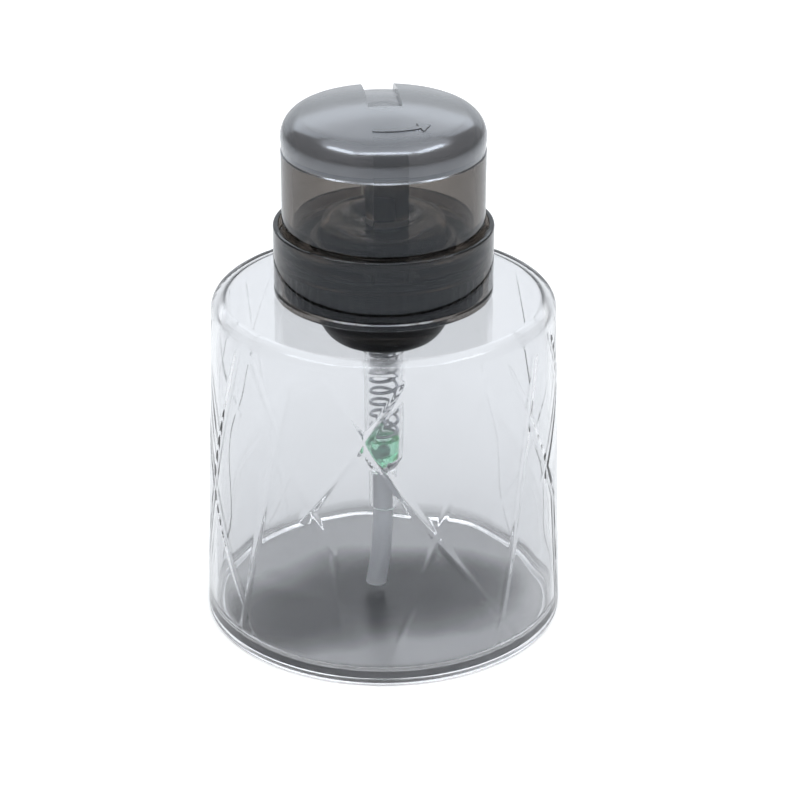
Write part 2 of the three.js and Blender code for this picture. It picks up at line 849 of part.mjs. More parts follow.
function lid() {
  const half = channelWidth / 2;
  const slotTop = hingeZ + knuckleRadius + knuckleSlotGap;
  const whole = lidForm(0, lidBottom);
  const hollow = lidForm(lidWall, lidBottom - cutOverrun, arcSteps);
  const channel = block(
    [-half, -channelReach, slotTop],
    [half, lidRadius + cutOverrun, overallHeight + cutOverrun],
  ).subtract(lidForm(channelDepth, lidBottom));
  const slot = block(
    [-half, hingeY - postFront - runningGap, lidBottom - cutOverrun],
    [half, lidRadius + cutOverrun, slotTop],
  );
  return whole.subtract(hollow)
    .add(latchTongue())
    .add(sealBoss())
    .subtract(channel)
    .subtract(slot)
    .add(hingeLugs(whole))
    .subtract(hingeBar(pinBore, half + lugWidth - boreGap));
}

function lidSeal() {
  return revolve([
    [0, sealBottom],
    [sealBossRadius - sealEdge, sealBottom],
    [sealBossRadius, sealBottom + sealEdge],
    [sealBossRadius, sealTop],
    [sealBossBore - boreGap, sealTop],
    [sealBossBore - boreGap, sealStemTop],
    [0, sealStemTop],
  ], pumpSegments);
}

// Colour, roughness and metalness of what each piece is made of
const finishes = {
  clear: [0xdfe3e8, 0.06, 0],
  smoke: [0x55565c, 0.12, 0],
  black: [0x141416, 0.38, 0],
  milky: [0xe4e6e8, 0.35, 0],
  green: [0x5fae86, 0.4, 0],
  white: [0xeeeeec, 0.5, 0],
  rubber: [0xb9bbbd, 0.7, 0],
  steel: [0xb4b6ba, 0.25, 1],
};

// The object, from the bottle up
const pieces = [
  ["bottle_body", bottleBody(), "clear"],
  ["neck_gasket", neckGasket(), "white"],
  ["mounting_cup", mountingCup(), "black"],
  ["pump_housing", pumpHousing(), "milky"],
  ["intake_valve", intakeValve(), "green"],
  ["intake_ball", ball(intakeBallCentre), "steel"],
  ["dip_tube", dipTube(), "milky"],
  ["return_spring", returnSpring(), "steel"],
  ["piston", piston(), "white"],
  ["stem", stem(), "milky"],
  ["stem_guide", stemGuide(), "white"],
  ["outlet_ball", ball(outletBallCentre), "steel"],
  ["dish", dish(), "smoke"],
  ["screw_closure", screwClosure(), "black"],
  ["collar", collar(), "smoke"],
  ["swivel_base", swivelBase(), "smoke"],
  ["hinge_pin", hingePin(), "smoke"],
  ["lid", lid(), "smoke"],
  ["lid_seal", lidSeal(), "rubber"],
];

const group = new THREE.Group();
for (const [name, made, finish] of pieces) {
  const [color, roughness, metalness] = finishes[finish];
  const material = new THREE.MeshStandardMaterial({ color, roughness, metalness });
  const mesh = new THREE.Mesh(toGeometry(made), material);
  mesh.name = name;
  group.add(mesh);
}

export default group;
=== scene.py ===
"""The looks of a nail polish remover pump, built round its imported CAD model.

A clear bottle carries a press pump. A smoky flip lid closes over the pump's dish, and twists to
lock.
Sizes are in millimetres and become metres where a mesh is made. +Z is up, the bottle's foot stands
on z = 0, the lid's hinge lies at +Y and its latch tongue at -Y, towards the user.
"""

from __future__ import annotations

import logging
import math
from dataclasses import dataclass, field
from enum import Enum
from typing import Any, Callable, Iterable, Sequence

import bpy
import numpy as np
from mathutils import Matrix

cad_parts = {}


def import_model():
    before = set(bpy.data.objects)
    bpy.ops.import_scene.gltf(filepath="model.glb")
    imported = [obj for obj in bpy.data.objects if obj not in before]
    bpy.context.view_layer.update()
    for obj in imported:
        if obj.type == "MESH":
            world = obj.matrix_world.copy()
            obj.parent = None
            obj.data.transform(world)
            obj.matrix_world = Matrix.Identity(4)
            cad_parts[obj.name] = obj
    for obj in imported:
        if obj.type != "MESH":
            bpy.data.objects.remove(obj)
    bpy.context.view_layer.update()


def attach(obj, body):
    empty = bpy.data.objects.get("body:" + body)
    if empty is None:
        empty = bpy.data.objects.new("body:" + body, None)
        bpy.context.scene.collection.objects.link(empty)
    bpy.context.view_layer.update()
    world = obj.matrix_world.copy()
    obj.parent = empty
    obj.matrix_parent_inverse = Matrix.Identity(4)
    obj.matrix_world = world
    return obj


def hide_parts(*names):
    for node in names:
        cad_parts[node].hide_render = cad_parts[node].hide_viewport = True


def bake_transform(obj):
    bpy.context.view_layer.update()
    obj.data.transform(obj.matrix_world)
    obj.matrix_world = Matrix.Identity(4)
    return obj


LOG = logging.getLogger("pump")
MM = 0.001
Array = np.ndarray
Corner = tuple[float, ...]
Triple = tuple[float, float, float]
Colour = Triple
Pair = tuple[float, float]

# Fillets: the smallest angle that gets one, the most that its arc takes of a side, and the straight
# piece kept beside it, at most so long and at most this share of what the arc leaves.
NO_ANGLE = 0.01
ARC_SHARE = 0.42
STRAIGHT = 0.12
STRAIGHT_SHARE = 0.3
# A fillet of this radius or more is made of at least so many pieces.
LARGE_FILLET = 0.6
LARGE_STEPS = 8
# Places outside every piece, where cutting boxes end.
PAST = 25.0
ABOVE = 115.0


# Shapes


def unit(rows: Array) -> Array:
    """Each row made one long."""
    return rows / np.linalg.norm(rows, axis=1)[:, None]


def fillet_arc(before: Array, corner: Array, after: Array, radius: float, steps: int) -> Array:
    """A corner of a profile turned into an arc that touches both of its sides.

    The arc's centre lies on the line that halves the corner's angle. A short straight piece stays
    before and after the arc, so that the shading of the flat sides stays flat.

    Args:
        before: The profile's point before the corner.
        corner: The corner itself.
        after: The profile's point after the corner.
        radius: The arc's radius, taken smaller where the sides are too short.
        steps: How many straight pieces the arc is made of.

    Returns:
        The points that take the corner's place.
    """
    to_before, to_after = before - corner, after - corner
    long_before, long_after = np.linalg.norm(to_before), np.linalg.norm(to_after)
    to_before, to_after = to_before / long_before, to_after / long_after
    shorter = min(long_before, long_after)
    half = math.acos(float(np.clip(to_before @ to_after, -1, 1))) / 2
    if radius <= 0 or half > math.pi / 2 - NO_ANGLE or half < NO_ANGLE:
        return corner[None]
    reach = min(radius / math.tan(half), ARC_SHARE * shorter)
    radius = reach * math.tan(half)
    middle = (to_before + to_after) / np.linalg.norm(to_before + to_after)
    centre = corner + middle * radius / math.sin(half)
    first, last = corner + to_before * reach - centre, corner + to_after * reach - centre
    whole = math.pi - 2 * half
    turn = np.linspace(0, whole, steps + 1)[:, None]
    arc = centre + (first * np.sin(whole - turn) + last * np.sin(turn)) / math.sin(whole)
    spare = min(STRAIGHT, STRAIGHT_SHARE * (shorter / 2 - reach))
    lead, trail = corner + to_before * (reach + spare), corner + to_after * (reach + spare)
    return np.vstack([lead, arc, trail])


def outline(
    corners: Sequence[Corner], closed: bool = True, soft: float = 0.12, steps: int = 3
) -> Array:
    """A profile from its corners, each given as radius, height and, where it differs, its fillet.

    Args:
        corners: The corners in order.
        closed: Whether the last corner joins the first. An open profile begins and ends on the
            axis.
        soft: The fillet of a corner that names none.
        steps: The pieces in each fillet.

    Returns:
        The profile's points, as rows of radius and height.
    """
    places = np.array([c[:2] for c in corners], float)
    count = len(places)
    rows = []
    for i, corner in enumerate(corners):
        if not closed and i in (0, count - 1):
            rows.append(places[i][None])
            continue
        radius = corner[2] if len(corner) > 2 else soft
        pieces = steps if radius < LARGE_FILLET else max(steps, LARGE_STEPS)
        rows.append(fillet_arc(places[i - 1], places[i], places[(i + 1) % count], radius, pieces))
    return np.vstack(rows)


def refined(profile: Array, longest: float, where: Callable[[float, float], bool]) -> Array:
    """A profile with more points on some of its sides.

    A side that is chosen by its middle is split evenly, so that no piece is longer than the given
    length.

    Args:
        profile: Rows of radius and height.
        longest: The longest piece that may stay.
        where: Says by radius and height whether a side is split.

    Returns:
        The finer profile.
    """
    rows = []
    for here, there in zip(profile, np.roll(profile, -1, axis=0)):
        long = float(np.linalg.norm(there - here))
        count = max(1, math.ceil(long / longest)) if where(*((here + there) / 2)) else 1
        rows.append(here + (there - here) * (np.arange(count) / count)[:, None])
    return np.vstack(rows)


def signed_area(profile: Array) -> float:
    """Twice the area inside a profile, above zero where it runs anticlockwise."""
    after = np.roll(profile, -1, axis=0)
    return float(np.sum(profile[:, 0] * after[:, 1] - after[:, 0] * profile[:, 1]))


@dataclass
class Surface:
    """A closed surface: its points in millimetres and its faces."""

    points: Array
    faces: list[list[int]]


def grid_faces(rows: int, columns: int, wrap_rows: bool, wrap_columns: bool) -> Array:
    """The four-cornered faces of a grid of points.

    Args:
        rows: The grid's rows.
        columns: Its columns.
        wrap_rows: Whether the last row joins the first.
        wrap_columns: Whether the last column joins the first.

    Returns:
        Each face as a row of point numbers.
    """
    i = np.arange(rows if wrap_rows else rows - 1)
    j = np.arange(columns if wrap_columns else columns - 1)
    i, j = np.meshgrid(i, j, indexing="ij")
    i2, j2 = (i + 1) % rows, (j + 1) % columns
    faces = np.stack([i * columns + j, i2 * columns + j, i2 * columns + j2, i * columns + j2], -1)
    return faces.reshape(-1, 4)


Shift = Callable[[Array, Array, Array], tuple[Array, Array]]


def ring_steps(start: int, count: int, parts: int) -> Array:
    """A ring's point numbers, cut into equal parts of the turn.

    Args:
        start: The number of the ring's first point.
        count: The points in the ring.
        parts: How many parts it is cut into.

    Returns:
        One row for each part, with both of its ends.
    """
    each = count // parts
    numbers = np.arange(parts)[:, None] * each + np.arange(each + 1)
    return start + numbers % count


def revolve(
    profile: Array,
    segments: int = 192,
    shift: Shift | None = None,
    times: int = 1,
    where: Callable[[float, float], bool] | None = None,
) -> Surface:
    """A profile turned about Z.

    A point is (r sin a, -r cos a, z): its turn a starts at the front and grows towards +X. A shift
    may change radius and height by turn, for a thread, a groove or a gap. An end of the profile on
    the axis becomes a single point. A chosen stretch may have several times the points in its
    turn, and where a coarse ring meets a fine one, each face has one coarse side and several fine.

    Args:
        profile: Rows of radius and height.
        segments: The points in a full turn.
        shift: Takes turn, radius and height, and returns the new radius and height.
        times: How many times more points a chosen ring has.
        where: Says by radius and height whether a ring is chosen.

    Returns:
        The closed surface, facing outwards.
    """
    profile = profile if signed_area(profile) > 0 else profile[::-1]
    on_axis = profile[:, 0] < 1e-9
    if on_axis.any():
        start = int(np.flatnonzero(on_axis & np.roll(on_axis, 1))[0])
        profile = np.roll(profile, -start, axis=0)
    turned = profile[1:-1] if on_axis.any() else profile
    counts = [segments * (times if where and where(*row) else 1) for row in turned]
    starts = np.concatenate([[0], np.cumsum(counts)])
    rings = []
    for (radius, height), count in zip(turned, counts):
        turn = np.linspace(0, 2 * np.pi, count, endpoint=False)
        out, up = np.full(count, radius), np.full(count, height)
        if shift:
            out, up = shift(turn, out, up)
        rings.append(np.stack([out * np.sin(turn), -out * np.cos(turn), up], -1))
    points, faces = np.vstack(rings), []
    for row in range(len(turned) - int(on_axis.any())):
        after = (row + 1) % len(turned)
        parts = min(counts[row], counts[after])
        low = ring_steps(starts[row], counts[row], parts)
        high = ring_steps(starts[after], counts[after], parts)
        faces += np.hstack([low, high[:, ::-1]]).tolist()
    if on_axis.any():
        base = len(points)
        points = np.vstack([points, [[0, 0, profile[0, 1]], [0, 0, profile[-1, 1]]]])
        low = ring_steps(starts[0], counts[0], counts[0])
        high = ring_steps(starts[-2], counts[-1], counts[-1])
        faces += np.hstack([np.full((len(low), 1), base), low[:, ::-1]]).tolist()
        faces += np.hstack([np.full((len(high), 1), base + 1), high]).tolist()
    return Surface(points, faces)


def circles(path: Array, first: Array, second: Array, radius: Array | float, sides: int) -> Array:
    """A circle round each point of a path.

    A circle's point is the path's point plus the radius times (first cos a + second sin a).

    Args:
        path: The centre line's points.
        first: The circle's first axis at each point, one long.
        second: Its second axis.
        radius: The radius, the same all along or one for each point.
        sides: The points in each circle.

    Returns:
        The points, by their place along the path and their place round the circle.
    """
    around = np.linspace(0, 2 * np.pi, sides, endpoint=False)[None, :, None]
    ring = first[:, None] * np.cos(around) + second[:, None] * np.sin(around)
    return path[:, None] + ring * np.broadcast_to(radius, len(path))[:, None, None]


def tube(path: Array, beside: Array, radius: Array | float, sides: int = 12) -> Surface:
    """A round tube with flat ends along a path.

    Each ring lies square to the path: its first axis is the given direction beside the path with
    the part along the path taken out, and its second is square to both.

    Args:
        path: The centre line's points.
        beside: A direction square or nearly square to the path at each point.
        radius: The tube's radius, the same all along or one for each point.
        sides: The points in each ring.

    Returns:
        The closed surface.
    """
    along = unit(np.gradient(path, axis=0))
    first = unit(beside - along * np.sum(beside * along, axis=1)[:, None])
    points = circles(path, first, np.cross(along, first), radius, sides)
    faces = grid_faces(len(path), sides, False, True)[:, ::-1].tolist()
    last = (len(path) - 1) * sides
    faces.append(list(range(sides))[::-1])
    faces.append([last + k for k in range(sides)])
    return Surface(points.reshape(-1, 3), faces)


def ball(radius: float, height: float, segments: int = 48) -> Surface:
    """A ball on the axis: a half circle turned about Z.

    Args:
        radius: The ball's radius.
        height: The height of its middle.
        segments: The points in its equator.

    Returns:
        The closed surface.
    """
    angle = np.linspace(-np.pi / 2, np.pi / 2, segments // 2 + 1)
    profile = np.stack([radius * np.cos(angle), height + radius * np.sin(angle)], -1)
    profile[[0, -1], 0] = 0
    return revolve(profile, segments)


def prism(flat: Array, low: float, high: float, axis: int) -> Surface:
    """An outline drawn out straight along one axis.

    Args:
        flat: The outline's points in the other two axes, in the order of X, Y, Z.
        low: Where it starts along the axis.
        high: Where it ends.
        axis: 0, 1 or 2.

    Returns:
        The closed surface, facing outwards.
    """
    others = [k for k in range(3) if k != axis]
    if (signed_area(flat) > 0) == (axis == 1):
        flat = flat[::-1]
    points = np.zeros((2 * len(flat), 3))
    points[:, others] = np.vstack([flat, flat])
    points[:, axis] = np.repeat([low, high], len(flat))
    count = len(flat)
    sides = [[i, (i + 1) % count, (i + 1) % count + count, i + count] for i in range(count)]
    ends = [list(range(count))[::-1], [i + count for i in range(count)]]
    return Surface(points, sides + ends)


def box(low: Sequence[float], high: Sequence[float]) -> Surface:
    """A box between two corners."""
    (x0, y0, z0), (x1, y1, z1) = low, high
    return prism(np.array([[x0, y0], [x1, y0], [x1, y1], [x0, y1]]), z0, z1, 2)


def bar_across(y: float, z: float, radius: float, half: float, edge: float = 0.0) -> Surface:
    """A round bar along X.

    Args:
        y: Where its middle line lies.
        z: The height of its middle line.
        radius: The bar's radius.
        half: Half its length.
        edge: How far its ends are drawn in.

    Returns:
        The closed surface.
    """
    path = np.array([[-half, y, z], [edge - half, y, z], [half - edge, y, z], [half, y, z]], float)
    wide = np.array([radius - edge, radius, radius, radius - edge])
    if not edge:
        path, wide = path[[0, 3]], wide[[0, 3]]
    return tube(path, np.tile([0.0, 1.0, 0.0], (len(path), 1)), wide, 48)


def to_mesh(name: str, surface: Surface) -> bpy.types.Mesh:
    """A Blender mesh in metres.

    Args:
        name: The mesh's name.
        surface: The surface in millimetres.

    Returns:
        The mesh.
    """
    mesh = bpy.data.meshes.new(name)
    mesh.from_pydata(surface.points * MM, [], surface.faces)
    mesh.validate()
    return mesh


def surface_of(mesh: bpy.types.Mesh) -> Surface:
    """A mesh turned back into a surface, and removed.

    Args:
        mesh: The mesh in metres.

    Returns:
        The surface in millimetres.
    """
    points = np.zeros(len(mesh.vertices) * 3)
    mesh.vertices.foreach_get("co", points)
    faces = [list(polygon.vertices) for polygon in mesh.polygons]
    bpy.data.meshes.remove(mesh)
    return Surface(points.reshape(-1, 3) / MM, faces)


def new_object(name: str, data: bpy.types.ID) -> bpy.types.Object:
    """A new object in the scene.

    Args:
        name: The object's name.
        data: The mesh, lamp or camera that it shows.

    Returns:
        The object.
    """
    made = bpy.data.objects.new(name, data)
    bpy.context.scene.collection.objects.link(made)
    return made


class Cut(Enum):
    """How one solid changes another."""

    ADD = "UNION"
    TAKE = "DIFFERENCE"
    KEEP = "INTERSECT"


def carve(name: str, start: Surface, steps: Iterable[tuple[Cut, Surface]]) -> bpy.types.Mesh:
    """A solid made by adding, taking away or keeping what it shares with others, one by one.

    Args:
        name: The mesh's name.
        start: The solid that the work starts from.
        steps: What is done, in order, and with which solid.

    Returns:
        The finished mesh.
    """
    work = new_object(name + "_work", to_mesh(name, start))
    tools = []
    for cut, surface in steps:
        tool = new_object(name + "_tool", to_mesh(name + "_tool", surface))
        step = work.modifiers.new(cut.name, "BOOLEAN")
        step.operation, step.object, step.solver = cut.value, tool, "MANIFOLD"
        tools.append(tool)
    graph = bpy.context.evaluated_depsgraph_get()
    made = bpy.data.meshes.new_from_object(work.evaluated_get(graph))
    for each in [work, *tools]:
        spare = each.data
        bpy.data.objects.remove(each)
        bpy.data.meshes.remove(spare)
    made.name = name
    return made


# Materials


class Socket:
    """A node's output that can be used in sums."""

    def __init__(self, tree: Tree, output: bpy.types.NodeSocket) -> None:
        """Keeps the tree that the output belongs to, and the output."""
        self.tree, self.output = tree, output

    def _maths(self, operation: str, *values: Any) -> Socket:
        """One Math node on this socket and other values."""
        return self.tree.node("ShaderNodeMath", {"operation": operation}, *values)

    def __add__(self, other: Any) -> Socket:
        """This plus another."""
        return self._maths("ADD", self, other)

    __radd__ = __add__

    def __mul__(self, other: Any) -> Socket:
        """This times another."""
        return self._maths("MULTIPLY", self, other)

    __rmul__ = __mul__

    def __sub__(self, other: Any) -> Socket:
        """This less another."""
        return self._maths("SUBTRACT", self, other)

    def __rsub__(self, other: Any) -> Socket:
        """Another less this."""
        return self._maths("SUBTRACT", other, self)

    def __gt__(self, other: Any) -> Socket:
        """1 where this is the larger, else 0."""
        return self._maths("GREATER_THAN", self, other)

    def __lt__(self, other: Any) -> Socket:
        """1 where this is the smaller, else 0."""
        return self._maths("LESS_THAN", self, other)

    def at_least(self, other: Any) -> Socket:
        """The larger of this and another."""
        return self._maths("MAXIMUM", self, other)

    def at_most(self, other: Any) -> Socket:
        """The smaller of this and another."""
        return self._maths("MINIMUM", self, other)


class Tree:
    """A material's or a world's nodes."""

    def __init__(self, tree: bpy.types.NodeTree) -> None:
        """Empties the tree."""
        self.tree = tree
        tree.nodes.clear()

    def node(
        self, kind: str, settings: dict[str, Any] | None = None, *values: Any, **named: Any
    ) -> Socket:
        """Adds a node.

        Args:
            kind: The node's type.
            settings: What is set on the node before its inputs, such as an operation. A ramp's
                stops are given as "stops", a list of place and colour.
            values: The inputs in order: numbers, colours or sockets.
            named: The inputs by name, with underscores for spaces.

        Returns:
            The node's first output, or its first input where it has none.
        """
        made = self.tree.nodes.new(kind)
        for key, value in (settings or {}).items():
            if key == "stops":
                ramp = made.color_ramp
                while len(ramp.elements) < len(value):
                    ramp.elements.new(0.5)
                for element, (place, colour) in zip(ramp.elements, value):
                    element.position, element.color = place, (*colour, 1)
            else:
                setattr(made, key, value)
        pairs = list(zip(made.inputs, values))
        pairs += [(made.inputs[name.replace("_", " ")], value) for name, value in named.items()]
        for socket, value in pairs:
            if isinstance(value, Socket):
                self.tree.links.new(value.output, socket)
            elif value is not None:
                socket.default_value = value
        return Socket(self, made.outputs[0] if made.outputs else made.inputs[0])

    def other(self, socket: Socket, name: str) -> Socket:
        """Another output of a socket's node."""
        return Socket(self, socket.output.node.outputs[name])

    def place(self) -> Socket:
        """The place in the object's own coordinates, in metres."""
        return self.other(self.node("ShaderNodeTexCoord"), "Object")

    def height(self, place: Socket) -> Socket:
        """How high a place is."""
        return self.other(self.node("ShaderNodeSeparateXYZ", {}, place), "Z")

    def vector(self, operation: str, *values: Any) -> Socket:
        """One Vector Math node."""
        return self.node("ShaderNodeVectorMath", {"operation": operation}, *values)

    def length(self, vector: Socket) -> Socket:
        """How long a vector is."""
        return self.other(self.vector("LENGTH", vector), "Value")

    def from_axis(self, place: Socket) -> Socket:
        """How far a place is from the upright axis."""
        return self.length(self.vector("MULTIPLY", place, (1.0, 1.0, 0.0)))

    def fade(self, value: Socket, ends: Pair) -> Socket:
        """0 up to the first of two places in millimetres, 1 past the second, even between them."""
        return self.node("ShaderNodeMapRange", {}, value, ends[0] * MM, ends[1] * MM)

    def noise(self, scale: float, detail: float = 2.0, stretch: Triple = (1, 1, 1)) -> Socket:
        """Soft noise in the object's own coordinates.

        Args:
            scale: Its cycles in a metre.
            detail: How many finer layers it has.
            stretch: What each axis is multiplied by.

        Returns:
            The noise, from 0 to 1.
        """
        placed = self.node("ShaderNodeMapping", {}, self.place(), Scale=stretch)
        layers = {"Scale": scale, "Detail": detail, "Roughness": 0.55}
        return self.node("ShaderNodeTexNoise", {}, placed, **layers)

    def ramp(self, value: Socket, low: Colour, high: Colour, ends: Pair) -> Socket:
        """A colour that changes between two stops of a value."""
        return self.node("ShaderNodeValToRGB", {"stops": [(ends[0], low), (ends[1], high)]}, value)

    def mix(self, share: Socket, none: Any, whole: Any) -> Socket:
        """The first colour where the share is 0 and the second where it is 1."""
        mixed = self.node("ShaderNodeMix", {"data_type": "RGBA"}, share, *[None] * 5, none, whole)
        return self.other(mixed, "Result")

    def bump(self, height: Socket, strength: float, distance: float) -> Socket:
        """Small relief from a height, the distance in metres."""
        return self.node("ShaderNodeBump", {}, Height=height, Strength=strength, Distance=distance)


def new_material(name: str) -> tuple[bpy.types.Material, Tree]:
    """A new material.

    Args:
        name: The material's name.

    Returns:
        The material and its empty tree.
    """
    made = bpy.data.materials.new(name)
    made.use_nodes = True
    return made, Tree(made.node_tree)


def opaque(colour: Colour, share: float = 1.0) -> tuple[float, float, float, float]:
    """A colour, or a share of it, with full alpha."""
    return (colour[0] * share, colour[1] * share, colour[2] * share, 1.0)


@dataclass(frozen=True)
class SeeThrough:
    """A see-through moulded plastic that takes light away with thickness.

    Attributes:
        name: The material's name.
        tint: The colour of its body, reached over the thickness that the density sets.
        density: How much light the body takes away in a metre.
        gloss: Its roughness from the clearest to the most smeared places.
        surface: The colour that light takes on at each face.
        sheen: The colour of its reflections.
        index: How strongly it bends light.
        smears: The scale of its smears, in cycles a metre.
    """

    name: str
    tint: Colour
    density: float
    gloss: Pair = (0.02, 0.06)
    surface: Colour = (1.0, 1.0, 1.0)
    sheen: Colour = (1.0, 1.0, 1.0)
    index: float = 1.5
    smears: float = 240.0

    def make(self) -> bpy.types.Material:
        """Builds the material: glass with a smear of uneven gloss, and a tint in its body.

        Returns:
            The material.
        """
        made, tree = new_material(self.name)
        smear = tree.noise(self.smears, 4.0)
        rough = smear * (self.gloss[1] - self.gloss[0]) + self.gloss[0]
        body = tree.node(
            "ShaderNodeBsdfPrincipled",
            {},
            IOR=self.index,
            Transmission_Weight=1.0,
            Specular_Tint=opaque(self.sheen),
            **self.skin(tree, smear, rough),
        )
        inside = tree.node(
            "ShaderNodeVolumeAbsorption", {}, Color=opaque(self.tint), Density=self.density
        )
        tree.node("ShaderNodeOutputMaterial", {}, body, inside)
        return made

    def skin(self, tree: Tree, smear: Socket, rough: Socket) -> dict[str, Any]:
        """What the surface sets on the shader: one colour and the smeared gloss."""
        return {"Base_Color": opaque(self.surface), "Roughness": rough}


@dataclass(frozen=True)
class LidPlastic(SeeThrough):
    """Smoky plastic with a hazy grey bloom on the roof's outside and frost on its underside.

    Heights and radii are in millimetres.

    Attributes:
        frost: The roughness under the roof, in clear and in smeared places.
        inside_radius: What is nearer to the axis than this is inside the lid.
        under_crown: What is nearer to the crown's middle than this is under the crown.
        crown_middle: The height of that middle. The crown is a ball's cap, so the distance from
            the ball's middle tells its two sides apart.
        frost_low: Where the frost begins.
        bloom_ends: Where the bloom begins and where it is full.
        bloom: The roof's colour.
        bloom_metal: How metallic the bloom is, in clear and in smeared places.
        bloom_coat: The weight of its coat, in clear and in smeared places.
        bloom_rough: What it adds to the roughness.
        coat_rough: The coat's roughness.
        coat_index: How strongly the coat bends light.
        ledge_radius: The small step round the inside of the lid, under its roof, lies within this.
        ledge_heights: Where the step begins and ends.
        ledge_metal: How metallic the step is.
        ledge_rough: What the step adds to the roughness.
    """

    frost: Pair = (0.3, 0.2)
    inside_radius: float = 18.6
    under_crown: float = 60.3
    crown_middle: float = 50.0
    frost_low: float = 102.1
    bloom_ends: Pair = (101.4, 101.8)
    bloom: Colour = (0.60, 0.65, 0.75)
    bloom_metal: Pair = (0.07, 0.04)
    bloom_coat: Pair = (0.7, 0.3)
    bloom_rough: float = 0.12
    coat_rough: float = 0.28
    coat_index: float = 1.6
    ledge_radius: float = 18.45
    ledge_heights: Pair = (101.5, 102.3)
    ledge_metal: float = 0.7
    ledge_rough: float = 0.4

    def skin(self, tree: Tree, smear: Socket, rough: Socket) -> dict[str, Any]:
        """What the lid's surface sets on the shader.

        Args:
            tree: The material's nodes.
            smear: The noise of the smears.
            rough: The smeared gloss.

        Returns:
            The shader's inputs by name.
        """
        place = tree.place()
        height, out = tree.height(place), tree.from_axis(place)
        ledge = self.on_ledge(height, out)
        bloom = tree.fade(height, self.bloom_ends)
        rough = rough + self.under_roof(tree, place, height, out) * (
            self.frost[0] + self.frost[1] * smear
        )
        metal = bloom * (self.bloom_metal[0] + self.bloom_metal[1] * smear)
        return {
            "Base_Color": tree.ramp(bloom, self.surface, self.bloom, (0.0, 1.0)),
            "Roughness": rough + bloom * self.bloom_rough + ledge * self.ledge_rough,
            "Metallic": metal + ledge * self.ledge_metal,
            "Coat_Weight": bloom * (self.bloom_coat[0] + self.bloom_coat[1] * smear),
            "Coat_Roughness": self.coat_rough,
            "Coat_IOR": self.coat_index,
        }

    def on_ledge(self, height: Socket, out: Socket) -> Socket:
        """1 on the small step round the inside of the lid, 0 elsewhere."""
        low, high = self.ledge_heights
        return (out < self.ledge_radius * MM) * (height > low * MM) * (height < high * MM)

    def under_roof(self, tree: Tree, place: Socket, height: Socket, out: Socket) -> Socket:
        """1 on the roof's underside, 0 elsewhere.

        Args:
            tree: The material's nodes.
            place: The place on the lid.
            height: Its height.
            out: Its distance from the axis.

        Returns:
            1 inside the lid's wall, over its corner and under the crown.
        """
        deep = tree.vector("DISTANCE", place, (0.0, 0.0, self.crown_middle * MM))
        deep = tree.other(deep, "Value")
        inside = (out < self.inside_radius * MM) * (deep < self.under_crown * MM)
        return inside * (height > self.frost_low * MM)


@dataclass(frozen=True)
class ShadowPatch:
    """A dark patch in the bottle's foot, part of the pump head's painted shadow.

    Attributes:
        middle: Where it lies, in millimetres.
        stretch: What the distance along X and along Y is multiplied by.
        drawn_in: How much smaller it is all round than the other one.
    """

    middle: Pair
    stretch: Pair
    drawn_in: float = 0.0

    def away(self, tree: Tree, place: Socket) -> Socket:
        """The stretched distance from the patch's middle.

        Args:
            tree: The material's nodes.
            place: The place on the foot.

        Returns:
            The distance in metres.
        """
        apart = tree.vector("SUBTRACT", place, (self.middle[0] * MM, self.middle[1] * MM, 0.0))
        apart = tree.vector("MULTIPLY", apart, (*self.stretch, 0.0))
        return tree.length(apart) + self.drawn_in * MM


